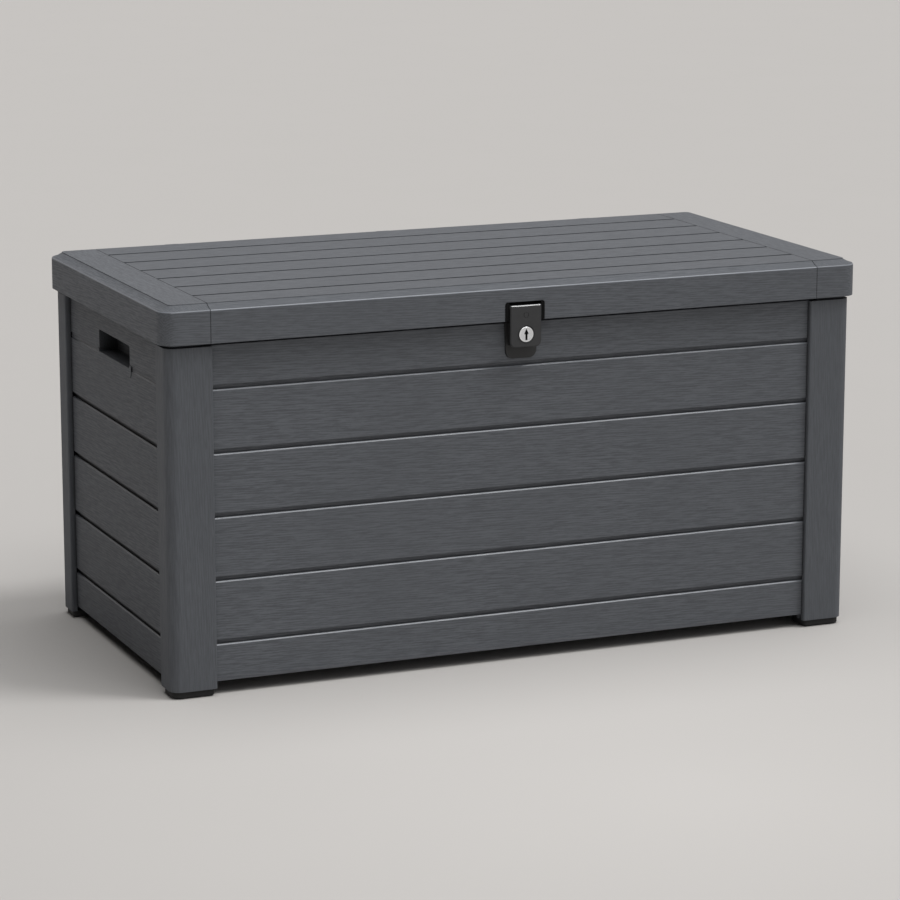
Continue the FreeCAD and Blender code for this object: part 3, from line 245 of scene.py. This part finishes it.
def sparked_resin(name, colour, roughness, specular=0.5):
    """Black polypropylene, or acetal for the shutter, from a spark-eroded mould: an even, very
    fine matt grit."""
    material, tree = new_material(name)
    place = add(tree, "ShaderNodeTexCoord", {})
    # Grit of 0.6 mm, coarser than the usual 0.1 mm, so that it still shows.
    grit = add(tree, "ShaderNodeTexNoise", {
        "Vector": place.outputs["Object"], "Scale": 1 / (0.6 * MM), "Detail": 2.0})
    # Faint clouds of 16.7 mm, a guess at how an even black wears.
    cloud = add(tree, "ShaderNodeTexNoise", {
        "Vector": place.outputs["Object"], "Scale": 1 / (16.7 * MM), "Detail": 3.0})
    tone = add(tree, "ShaderNodeMix", {
        0: cloud.outputs[0], 6: scaled(0.85, colour), 7: scaled(1.15, colour)}, data_type="RGBA")
    gloss = add(tree, "ShaderNodeMapRange", {
        "Value": grit.outputs[0], "From Min": 0.3, "From Max": 0.7,
        "To Min": roughness - 0.06, "To Max": roughness + 0.06})
    # Upward slopes are drawn much paler, a painted highlight, and smoother.
    edge = polish_and_highlight_slopes(tree, place)
    highlighted = add(tree, "ShaderNodeMix", {
        0: edge, 6: tone.outputs[2], 7: scaled(2.5, colour)}, data_type="RGBA")
    polished = add(tree, "ShaderNodeMix", {0: edge, 2: gloss.outputs[0], 3: 0.2})
    soft_edge = add(tree, "ShaderNodeBevel", {"Radius": 0.4 * MM}, samples=4)
    relief = add(tree, "ShaderNodeBump", {
        "Strength": 0.5, "Distance": 0.04 * MM, "Height": grit.outputs[0],
        "Normal": soft_edge.outputs[0]})
    shader = add(tree, "ShaderNodeBsdfPrincipled", {
        "Base Color": highlighted.outputs[2], "Roughness": polished.outputs[0],
        "IOR": POLYPROPYLENE_IOR, "Specular IOR Level": specular, "Normal": relief.outputs[0]})
    add(tree, "ShaderNodeOutputMaterial", {"Surface": shader.outputs[0]})
    return material


def moulded_rubber(name, colour):
    """Vulcanised rubber of the feet: nearly black, dull, with a little dust and scuffing."""
    material, tree = new_material(name)
    place = add(tree, "ShaderNodeTexCoord", {})
    scuffs = add(tree, "ShaderNodeTexNoise", {
        "Vector": place.outputs["Object"], "Scale": 1 / (7.14 * MM), "Detail": 5.0,
        "Roughness": 0.65})
    dusty = add(tree, "ShaderNodeMapRange", {
        "Value": scuffs.outputs[0], "From Min": 0.5, "From Max": 0.75, "To Max": 0.3})
    tone = add(tree, "ShaderNodeMix", {
        0: dusty.outputs[0], 6: scaled(1.0, colour), 7: scaled(3.0, colour)}, data_type="RGBA")
    relief = add(tree, "ShaderNodeBump", {
        "Strength": 0.5, "Distance": 0.1 * MM, "Height": scuffs.outputs[0]})
    shader = add(tree, "ShaderNodeBsdfPrincipled", {
        "Base Color": tone.outputs[2], "Roughness": 0.8, "IOR": RUBBER_IOR,
        "Normal": relief.outputs[0]})
    add(tree, "ShaderNodeOutputMaterial", {"Surface": shader.outputs[0]})
    return material


def zinc_plated_steel(name, colour):
    """Cold-drawn steel with bright zinc plating: a soft metallic sheen with cloudy patches."""
    material, tree = new_material(name)
    place = add(tree, "ShaderNodeTexCoord", {})
    cloud = add(tree, "ShaderNodeTexNoise", {
        "Vector": place.outputs["Object"], "Scale": 1 / (4.55 * MM), "Detail": 4.0,
        "Roughness": 0.6})
    tone = add(tree, "ShaderNodeMix", {
        0: cloud.outputs[0], 6: scaled(0.75, colour), 7: scaled(1.05, colour)}, data_type="RGBA")
    gloss = add(tree, "ShaderNodeMapRange", {
        "Value": cloud.outputs[0], "From Min": 0.3, "From Max": 0.7,
        "To Min": 0.28, "To Max": 0.42})
    relief = add(tree, "ShaderNodeBump", {
        "Strength": 0.3, "Distance": 0.03 * MM, "Height": cloud.outputs[0]})
    shader = add(tree, "ShaderNodeBsdfPrincipled", {
        "Base Color": tone.outputs[2], "Metallic": 1.0, "Roughness": gloss.outputs[0],
        "Normal": relief.outputs[0]})
    add(tree, "ShaderNodeOutputMaterial", {"Surface": shader.outputs[0]})
    return material


def nickel_plated_zinc(name, colour, speckled):
    """Die-cast zinc with nickel plating: bright and smooth, or blasted to a fine speckle."""
    material, tree = new_material(name)
    place = add(tree, "ShaderNodeTexCoord", {})
    # Speckle of 0.9 mm, coarser than the usual 0.1 mm, so that it still shows.
    speckle = add(tree, "ShaderNodeTexNoise", {
        "Vector": place.outputs["Object"], "Scale": 1 / (0.9 * MM), "Detail": 2.0})
    if speckled:
        darkest, smoothest, roughest, depth = 0.55, 0.35, 0.5, 0.4
    else:
        darkest, smoothest, roughest, depth = 0.92, 0.2, 0.26, 0.1
    tone = add(tree, "ShaderNodeMapRange", {
        "Value": speckle.outputs[0], "From Min": 0.3, "From Max": 0.7})
    shade = add(tree, "ShaderNodeMix", {
        0: tone.outputs[0], 6: scaled(darkest, colour), 7: scaled(1.0, colour)}, data_type="RGBA")
    gloss = add(tree, "ShaderNodeMapRange", {
        "Value": speckle.outputs[0], "From Min": 0.3, "From Max": 0.7,
        "To Min": smoothest, "To Max": roughest})
    relief = add(tree, "ShaderNodeBump", {
        "Strength": depth, "Distance": 0.03 * MM, "Height": speckle.outputs[0]})
    shader = add(tree, "ShaderNodeBsdfPrincipled", {
        "Base Color": shade.outputs[2], "Metallic": 1.0, "Roughness": gloss.outputs[0],
        "Normal": relief.outputs[0]})
    add(tree, "ShaderNodeOutputMaterial", {"Surface": shader.outputs[0]})
    return material


def dress(names, material):
    """Gives CAD nodes their material."""
    for name in names:
        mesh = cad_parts[name].data
        mesh.materials.clear()
        mesh.materials.append(material)


def new_piece(name, mesh, material, body):
    """An object of a new mesh that rides on a CAD body."""
    piece = bpy.data.objects.new(name, mesh)
    bpy.context.scene.collection.objects.link(piece)
    mesh.materials.append(material)
    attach(piece, body)
    return piece


def turned_form(mesh, profile, steps):
    """Adds a turned form about Z; the profile is (radius, height) pairs, with 0 closing it."""
    rings = []
    for radius, height in profile:
        if radius == 0:
            rings.append([mesh.verts.new((0.0, 0.0, height))])
            continue
        ring = []
        for step in range(steps):
            angle = 2 * math.pi * step / steps
            ring.append(mesh.verts.new(
                (radius * math.cos(angle), radius * math.sin(angle), height)))
        rings.append(ring)
    for lower, upper in zip(rings, rings[1:]):
        for step in range(steps):
            after = (step + 1) % steps
            if len(lower) == 1:
                mesh.faces.new((lower[0], upper[after], upper[step]))
            elif len(upper) == 1:
                mesh.faces.new((lower[step], lower[after], upper[0]))
            else:
                mesh.faces.new((lower[step], lower[after], upper[after], upper[step]))


# The screws. CREST_REACH is how far a crest goes to either side of its middle, as a share of a
# turn, and TIP_NARROWING the share of the radius that goes over the last TIP_TURNS turns.
HEAD_RADIUS = 4.0 * MM
HEAD_HEIGHT = 2.4 * MM
HEAD_CROWN = HEAD_HEIGHT * 1.02
HEAD_ROUNDING = HEAD_HEIGHT * 0.55
HEAD_SIDES = 32
HEAD_CURVE_STEPS = 6
RECESS_WIDTH = 1.1 * MM
RECESS_REACH = 2.3 * MM
RECESS_DEPTH = 1.5 * MM
SCREW_RADIUS = 2.0 * MM
SHANK_SIDES = 18
ROWS_PER_TURN = 5
THREAD_DEPTH = SCREW_RADIUS * 0.28
CREST_REACH = 0.28
TIP_NARROWING = 0.45
TIP_TURNS = 1.5
SHARP_ANGLE = math.radians(35)


def screw_mesh(length):
    """Pan-head screw along -Z below its seat at the origin, with a cross recess and a thread."""
    head = bmesh.new()
    profile = [(0.0, 0.0), (HEAD_RADIUS, 0.0)]
    for step in range(HEAD_CURVE_STEPS + 1):
        angle = math.pi / 2 * step / HEAD_CURVE_STEPS
        profile.append((HEAD_RADIUS - HEAD_ROUNDING + HEAD_ROUNDING * math.cos(angle),
                        HEAD_HEIGHT - HEAD_ROUNDING + HEAD_ROUNDING * math.sin(angle)))
    profile.append((0.0, HEAD_CROWN))
    turned_form(head, profile, HEAD_SIDES)
    head_mesh = bpy.data.meshes.new("screw_head")
    head.to_mesh(head_mesh)
    head.free()
    cutter = bmesh.new()
    corners = ((-1, -1), (1, -1), (1, 1), (-1, 1))
    above = HEAD_HEIGHT * 1.2
    below = HEAD_HEIGHT - RECESS_DEPTH
    for along_x, along_y in ((RECESS_REACH, RECESS_WIDTH / 2), (RECESS_WIDTH / 2, RECESS_REACH)):
        top = [cutter.verts.new((x * along_x, y * along_y, above)) for x, y in corners]
        tip = [cutter.verts.new((x * RECESS_WIDTH / 3, y * RECESS_WIDTH / 3, below))
               for x, y in corners]
        cutter.faces.new(top)
        cutter.faces.new(tip[::-1])
        for index in range(4):
            after = (index + 1) % 4
            cutter.faces.new((top[index], tip[index], tip[after], top[after]))
    cutter_mesh = bpy.data.meshes.new("cross_cutter")
    cutter.to_mesh(cutter_mesh)
    cutter.free()
    head_object = bpy.data.objects.new("screw_head", head_mesh)
    cutter_object = bpy.data.objects.new("cross_cutter", cutter_mesh)
    for item in (head_object, cutter_object):
        bpy.context.scene.collection.objects.link(item)
    cut = head_object.modifiers.new("cross", "BOOLEAN")
    cut.operation = "DIFFERENCE"
    cut.solver = "EXACT"
    cut.use_self = True
    cut.object = cutter_object
    bpy.context.view_layer.update()
    shaped = head_object.evaluated_get(bpy.context.evaluated_depsgraph_get())
    whole = bmesh.new()
    whole.from_mesh(bpy.data.meshes.new_from_object(shaped))
    for item in (head_object, cutter_object):
        bpy.data.objects.remove(item)
    threaded_shank(whole, length)
    mesh = bpy.data.meshes.new("screw")
    whole.to_mesh(mesh)
    whole.free()
    return mesh


def threaded_shank(mesh, length):
    """Adds a shank with a helical thread and a blunt tip, going down from the origin."""
    pitch = bpy.context.scene.storage_box_sizes.thread_pitch
    rows = max(2, int(length / pitch * ROWS_PER_TURN))
    grid = []
    for row in range(rows + 1):
        level = -length * row / rows
        from_tip = min(1.0, (length + level) / (TIP_TURNS * pitch))
        ring = []
        for step in range(SHANK_SIDES):
            phase = (level / pitch + step / SHANK_SIDES) % 1.0
            crest = max(0.0, 1 - abs(phase - 0.5) / CREST_REACH)
            radius = SCREW_RADIUS - THREAD_DEPTH + THREAD_DEPTH * crest
            radius *= 1 - TIP_NARROWING + TIP_NARROWING * from_tip
            angle = 2 * math.pi * step / SHANK_SIDES
            ring.append(mesh.verts.new(
                (radius * math.cos(angle), radius * math.sin(angle), level)))
        grid.append(ring)
    for upper, lower in zip(grid, grid[1:]):
        for step in range(SHANK_SIDES):
            after = (step + 1) % SHANK_SIDES
            mesh.faces.new((lower[step], lower[after], upper[after], upper[step]))
    mesh.faces.new(grid[-1][::-1])


def screws(name, seats, length, body, material):
    """One object of like screws; each seat is a point and the way the head faces."""
    single = screw_mesh(length)
    group = bmesh.new()
    for seat, out in seats:
        upright = Vector((0.0, 0.0, 1.0))
        turn = upright.rotation_difference(Vector(out)).to_matrix().to_4x4()
        copy = single.copy()
        copy.transform(Matrix.Translation(Vector(seat)) @ turn)
        group.from_mesh(copy)
        bpy.data.meshes.remove(copy)
    mesh = bpy.data.meshes.new(name)
    group.to_mesh(mesh)
    group.free()
    for face in mesh.polygons:
        face.use_smooth = True
    piece = new_piece(name, mesh, material, body)
    mesh.set_sharp_from_angle(angle=SHARP_ANGLE)
    return piece


class STORAGE_BOX_OT_walls(bpy.types.Operator):
    """Gives the four board walls and the floor tray their grained grey resin"""
    bl_idname = "storage_box.walls"
    bl_label = "Board walls and floor"

    def execute(self, context):
        colour = context.scene.storage_box_colours.resin
        # The photo's side walls get less light than the lamps here give them. Their darker
        # colour stands in for that and isn't another resin.
        darker = toned(0.85, colour)
        # The painted shade reaches 1.8 mm into the long walls' grooves and 45 mm into the side walls'
        # grip pockets, and the side walls' slopes get no paler painted highlight.
        dress(["front_panel", "rear_panel", "floor_panel"],
              wood_grain_resin("grained_polypropylene_long_walls", colour, "X",
                               shade_reach=1.8 * MM))
        dress(["left_side_panel", "right_side_panel"],
              wood_grain_resin("grained_polypropylene_side_walls", darker, "Y",
                               shade_reach=45 * MM, highlight_pale=1.0))
        return {"FINISHED"}


class STORAGE_BOX_OT_posts(bpy.types.Operator):
    """Gives the corner posts their upright grain"""
    bl_idname = "storage_box.posts"
    bl_label = "Corner posts"

    def execute(self, context):
        colour = context.scene.storage_box_colours.resin
        names = [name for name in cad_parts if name.startswith("corner_post_")]
        # The posts' colour is a touch darker than the front and rear boards', painted shade, and
        # their grain is shallower.
        darker = toned(0.92, colour)
        dress(names, wood_grain_resin("grained_polypropylene_posts", darker, "Z", contrast=0.1))
        return {"FINISHED"}


class STORAGE_BOX_OT_feet(bpy.types.Operator):
    """Gives the four feet their dull black rubber"""
    bl_idname = "storage_box.feet"
    bl_label = "Feet"

    def execute(self, context):
        names = [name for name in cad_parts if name.startswith("foot_")]
        colour = context.scene.storage_box_colours.rubber
        dress(names, moulded_rubber("moulded_black_rubber", colour))
        return {"FINISHED"}


class STORAGE_BOX_OT_lid(bpy.types.Operator):
    """Gives the lid's three mouldings their grain, across on the end boards"""
    bl_idname = "storage_box.lid"
    bl_label = "Lid"

    def execute(self, context):
        colour = context.scene.storage_box_colours.resin
        # The lid's upward slopes get the strongest painted highlight.
        dress(["lid_centre"],
              wood_grain_resin("grained_polypropylene_lid_boards", colour, "X", highlight_pale=2.5))
        dress(["lid_end_left", "lid_end_right"],
              wood_grain_resin("grained_polypropylene_lid_ends", colour, "Y", along_front="X",
                               shade_reach=3 * MM, highlight_pale=2.0))
        return {"FINISHED"}


class STORAGE_BOX_OT_steel(bpy.types.Operator):
    """Gives the stiffener tubes and pins their zinc plating"""
    bl_idname = "storage_box.steel"
    bl_label = "Tubes and pins"

    def execute(self, context):
        dress(["lid_tube_front", "lid_tube_rear", "hinge_pins", "lock_flap_pin", "lock_nut",
               "lock_cam"],
              zinc_plated_steel("zinc_plated_steel", context.scene.storage_box_colours.zinc))
        return {"FINISHED"}


# Where the heads of the CAD's screws lie, in metres, and how long the shanks are.
LONG_WALL_SCREWS_X = 0.5453
LONG_WALL_SEAT_Y = 0.281
SIDE_WALL_SEAT_X = 0.59
SIDE_WALL_SCREWS_Y = 0.2563
WALL_SCREW_LEVELS = (0.13, 0.43)
WALL_SCREW_LENGTH = 0.012
SEAM_SEAT_X = 0.541
SEAM_SCREWS_Y = (-0.21675, -0.07225, 0.07225, 0.21675)
SEAM_SCREW_LEVEL = 0.63115
SEAM_SCREW_LENGTH = 0.012
HOUSING_SEAT = (0.01415, -0.3095, 0.6205)
HOUSING_SCREW_LENGTH = 0.004
CATCH_SEAT = (0.014, -0.294, 0.54725)
CATCH_SCREW_LENGTH = 0.0045


def pair_of_seats(seat):
    """A seat that faces backwards and its mirror image in the box's middle plane."""
    across, depth, level = seat
    return [((side * across, depth, level), (0, 1, 0)) for side in (-1, 1)]


class STORAGE_BOX_OT_screws(bpy.types.Operator):
    """Builds the screws of the walls, lid and lock with recessed heads and threads"""
    bl_idname = "storage_box.screws"
    bl_label = "Screws"

    def execute(self, context):
        steel = bpy.data.materials["zinc_plated_steel"]
        wall_seats = []
        for side in (-1, 1):
            for end in (-1, 1):
                for level in WALL_SCREW_LEVELS:
                    wall_seats.append((
                        (end * LONG_WALL_SCREWS_X, side * LONG_WALL_SEAT_Y, level), (0, -side, 0)))
                    wall_seats.append((
                        (side * SIDE_WALL_SEAT_X, end * SIDE_WALL_SCREWS_Y, level), (-side, 0, 0)))
        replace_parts(screws("wall_screws_threaded", wall_seats, WALL_SCREW_LENGTH, "box", steel),
                    "wall_screws")
        seam_seats = []
        for side in (-1, 1):
            for depth in SEAM_SCREWS_Y:
                seam_seats.append(((side * SEAM_SEAT_X, depth, SEAM_SCREW_LEVEL), (-side, 0, 0)))
        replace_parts(screws("lid_seam_screws_threaded", seam_seats, SEAM_SCREW_LENGTH, "lid", steel),
                    "lid_seam_screws")
        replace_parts(screws("lock_housing_screws_threaded", pair_of_seats(HOUSING_SEAT),
                           HOUSING_SCREW_LENGTH, "lid", steel), "lock_housing_screws")
        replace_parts(screws("lock_catch_screws_threaded", pair_of_seats(CATCH_SEAT),
                           CATCH_SCREW_LENGTH, "box", steel), "lock_catch_screws")
        return {"FINISHED"}


# Outlines in mm, as (x, z) about the lock's axis, of the black shutter in the keyway and of the
# thin flange by which it lies on the plug's face, and the depths in metres where each stands.
# Their near black is painted shade in the keyway.
LOCK_LEVEL = 559.5 * MM
SHUTTER_OUTLINE = [(-1.45, -8.95), (1.45, -8.95), (1.45, 1.05), (3.35, 1.05),
                   (0.0, 8.8), (-3.35, 1.05), (-1.45, 1.05)]
FLANGE_OUTLINE = [(-1.85, -9.4), (1.85, -9.4), (1.85, 0.6), (4.1, 0.6),
                  (0.0, 9.7), (-4.1, 0.6), (-1.85, 0.6)]
KEYWAY_STEPS = ((-0.32142, FLANGE_OUTLINE), (-0.3213, FLANGE_OUTLINE),
                (-0.3213, SHUTTER_OUTLINE), (-0.3147, SHUTTER_OUTLINE))


def keyway_painted_shade_shutter_mesh():
    """The shutter and its flange as one closed form, from its front to its back."""
    shutter = bmesh.new()
    rings = []
    for depth, outline in KEYWAY_STEPS:
        rings.append([shutter.verts.new((x * MM, depth, LOCK_LEVEL + z * MM))
                      for x, z in outline])
    for front, back in zip(rings, rings[1:]):
        for index in range(len(front)):
            after = (index + 1) % len(front)
            shutter.faces.new((front[index], back[index], back[after], front[after]))
    shutter.faces.new(rings[0])
    shutter.faces.new(rings[-1][::-1])
    mesh = bpy.data.meshes.new("keyway_painted_shade_shutter")
    shutter.to_mesh(mesh)
    shutter.free()
    return mesh


class STORAGE_BOX_OT_lock(bpy.types.Operator):
    """Gives the lock's flap, housing and catch their black resin and the cylinder its plating"""
    bl_idname = "storage_box.lock"
    bl_label = "Lock"

    def execute(self, context):
        colours = context.scene.storage_box_colours
        black = colours.black_resin
        # The catch, the housing and the shutter lie in deep shade in the photo. Their darker
        # colours stand in for that.
        dress(["lock_flap"],
              sparked_resin("spark_grained_polypropylene_flap", black, roughness=0.5))
        dress(["lock_catch"],
              sparked_resin("spark_grained_polypropylene_catch", toned(0.45, black),
                            roughness=0.55))
        dress(["lock_housing"],
              sparked_resin("spark_grained_polypropylene_housing", toned(0.15, black),
                            roughness=0.65, specular=0.1))
        plating = colours.lock_metal
        dress(["lock_body"],
              nickel_plated_zinc("bright_nickel_plated_zinc", plating, speckled=False))
        dress(["lock_plug"],
              nickel_plated_zinc("blasted_nickel_plated_zinc", plating, speckled=True))
        # The shutter's near black, a tenth of the flap's, is painted shade in the keyway.
        acetal = sparked_resin("moulded_black_acetal_painted_shade_shutter", toned(0.1, black),
                               roughness=0.7, specular=0.05)
        new_piece("keyway_painted_shade_shutter", keyway_painted_shade_shutter_mesh(), acetal, "plug")
        return {"FINISHED"}


# The floor's rings in metres.
FLOOR_RINGS = (0.0, 1.0, 4.0, 60.0)
FLOOR_SIDES = 96
FLOOR_LEVEL = -0.5 * MM


def studio_floor(colour):
    """A wide pale disc just under the feet, with a painted pool of light where it lies in front of
    the box.
    """
    disc = bmesh.new()
    turned_form(disc, [(radius, 0.0) for radius in FLOOR_RINGS], FLOOR_SIDES)
    mesh = bpy.data.meshes.new("floor")
    bmesh.ops.recalc_face_normals(disc, faces=disc.faces)
    disc.to_mesh(mesh)
    disc.free()
    mesh.transform(Matrix.Translation((0.0, 0.0, FLOOR_LEVEL)))
    # Painted board: a dull, even coat. The paler pool, a painted pool of light, has its middle
    # 1.06 m in front of the box's and fades out over 1.1 m.
    material, tree = new_material("painted_studio_floor")
    place = add(tree, "ShaderNodeTexCoord", {})
    pool = add(tree, "ShaderNodeMapping", {
        "Vector": place.outputs["Object"], "Location": (0.05, 0.95, 0.0),
        "Scale": (0.9, 0.9, 0.9)})
    fade = add(tree, "ShaderNodeTexGradient", {
        "Vector": pool.outputs[0]}, gradient_type="SPHERICAL")
    grain = add(tree, "ShaderNodeTexNoise", {
        "Vector": place.outputs["Object"], "Scale": 1 / (333 * MM), "Detail": 3.0})
    paler = add(tree, "ShaderNodeMath", {
        0: grain.outputs[0], 1: 0.1, 2: fade.outputs[1]}, operation="MULTIPLY_ADD")
    tone = add(tree, "ShaderNodeMix", {
        0: paler.outputs[0], 6: scaled(1.0, colour), 7: scaled(1.16, colour)}, data_type="RGBA")
    shader = add(tree, "ShaderNodeBsdfPrincipled", {
        "Base Color": tone.outputs[2], "Roughness": 0.9, "Specular IOR Level": 0.1})
    add(tree, "ShaderNodeOutputMaterial", {"Surface": shader.outputs[0]})
    mesh.materials.append(material)
    return bpy.data.objects.new("floor", mesh)


def studio_world(colour):
    """A weak even fill light, and the pale backdrop for whatever sees past the floor."""
    world = bpy.data.worlds.new("soft_studio")
    world.use_nodes = True
    tree = world.node_tree
    tree.nodes.clear()
    path = add(tree, "ShaderNodeLightPath", {})
    seen = add(tree, "ShaderNodeMath", {
        0: path.outputs["Is Camera Ray"], 1: path.outputs["Is Glossy Ray"]}, operation="MAXIMUM")
    seen = add(tree, "ShaderNodeMath", {
        0: seen.outputs[0], 1: path.outputs["Is Transmission Ray"]}, operation="MAXIMUM")
    fill = add(tree, "ShaderNodeBackground", {"Color": (1.0, 1.0, 1.0, 1.0), "Strength": 0.02})
    shown = add(tree, "ShaderNodeBackground", {"Color": scaled(1.0, colour), "Strength": 1.0})
    both = add(tree, "ShaderNodeMixShader", {
        0: seen.outputs[0], 1: fill.outputs[0], 2: shown.outputs[0]})
    add(tree, "ShaderNodeOutputWorld", {"Surface": both.outputs[0]})
    return world


# A broad light from overhead, a narrow one beside it that draws the bright lines on the
# moulded edges, and a weak broad one from the front. Each is (name, direction towards it,
# apparent width in degrees, strength).
LAMPS = (
    ("overhead_light", (0.12, -0.15, 1.0), 75.0, 2.15),
    ("edge_light", (0.42, -0.25, 0.95), 14.0, 0.9),
    ("front_light", (0.5, -1.0, 0.4), 60.0, 0.3),
)

# The camera fitted to the photo's straight edges: place in metres, turn to the right and
# tilt down in radians, focal length and sensor in mm, and how far it sees in metres.
CAMERA_PLACE = (-2.2582, -5.3401, 1.5645)
CAMERA_YAW = 0.4
CAMERA_PITCH = 0.2146
CAMERA_LENS = 136.18
CAMERA_SENSOR = 36.0
CAMERA_REACH = 200.0


class STORAGE_BOX_OT_stage(bpy.types.Operator):
    """Builds the pale floor, the soft lights and the camera"""
    bl_idname = "storage_box.stage"
    bl_label = "Stage"

    def execute(self, context):
        scene = context.scene
        floor = studio_floor(scene.storage_box_colours.floor)
        scene.collection.objects.link(floor)
        scene.world = studio_world(scene.storage_box_colours.backdrop)
        for name, towards, width, strength in LAMPS:
            lamp = bpy.data.lights.new(name, "SUN")
            lamp.angle = math.radians(width)
            lamp.energy = strength
            lamp_object = bpy.data.objects.new(name, lamp)
            lamp_object.rotation_euler = Vector(towards).to_track_quat("Z", "Y").to_euler()
            scene.collection.objects.link(lamp_object)
        lens = bpy.data.cameras.new("camera")
        lens.sensor_width = CAMERA_SENSOR
        lens.lens = CAMERA_LENS
        lens.clip_end = CAMERA_REACH
        camera = bpy.data.objects.new("camera", lens)
        camera.location = CAMERA_PLACE
        look = Vector((math.sin(CAMERA_YAW) * math.cos(CAMERA_PITCH),
                       math.cos(CAMERA_YAW) * math.cos(CAMERA_PITCH), -math.sin(CAMERA_PITCH)))
        camera.rotation_euler = look.to_track_quat("-Z", "Y").to_euler()
        scene.collection.objects.link(camera)
        scene.camera = camera
        scene.view_settings.view_transform = "Standard"
        return {"FINISHED"}


OPERATORS = (
    STORAGE_BOX_OT_walls,
    STORAGE_BOX_OT_posts,
    STORAGE_BOX_OT_feet,
    STORAGE_BOX_OT_lid,
    STORAGE_BOX_OT_steel,
    STORAGE_BOX_OT_screws,
    STORAGE_BOX_OT_lock,
    STORAGE_BOX_OT_stage,
)


class STORAGE_BOX_PT_panel(bpy.types.Panel):
    """Sidebar panel with the box's sizes, colours and pieces"""
    bl_label = "Storage Box"
    bl_idname = "STORAGE_BOX_PT_panel"
    bl_space_type = "VIEW_3D"
    bl_region_type = "UI"
    bl_category = "Storage Box"

    def draw(self, context):
        layout = self.layout
        for group in (context.scene.storage_box_sizes, context.scene.storage_box_colours):
            for name in group.__annotations__:
                layout.prop(group, name)
        for operator in OPERATORS:
            layout.operator(operator.bl_idname)


CLASSES = (StorageBoxSizes, StorageBoxColours) + OPERATORS + (STORAGE_BOX_PT_panel,)


def register():
    for item in CLASSES:
        bpy.utils.register_class(item)
    bpy.types.Scene.storage_box_sizes = bpy.props.PointerProperty(type=StorageBoxSizes)
    bpy.types.Scene.storage_box_colours = bpy.props.PointerProperty(type=StorageBoxColours)


def unregister():
    del bpy.types.Scene.storage_box_colours
    del bpy.types.Scene.storage_box_sizes
    for item in reversed(CLASSES):
        bpy.utils.unregister_class(item)


def main():
    """Builds every piece in order."""
    register()
    bpy.ops.storage_box.walls()
    bpy.ops.storage_box.posts()
    bpy.ops.storage_box.feet()
    bpy.ops.storage_box.lid()
    bpy.ops.storage_box.steel()
    bpy.ops.storage_box.screws()
    bpy.ops.storage_box.lock()
    bpy.ops.storage_box.stage()


if __name__ == "__main__":
    main()
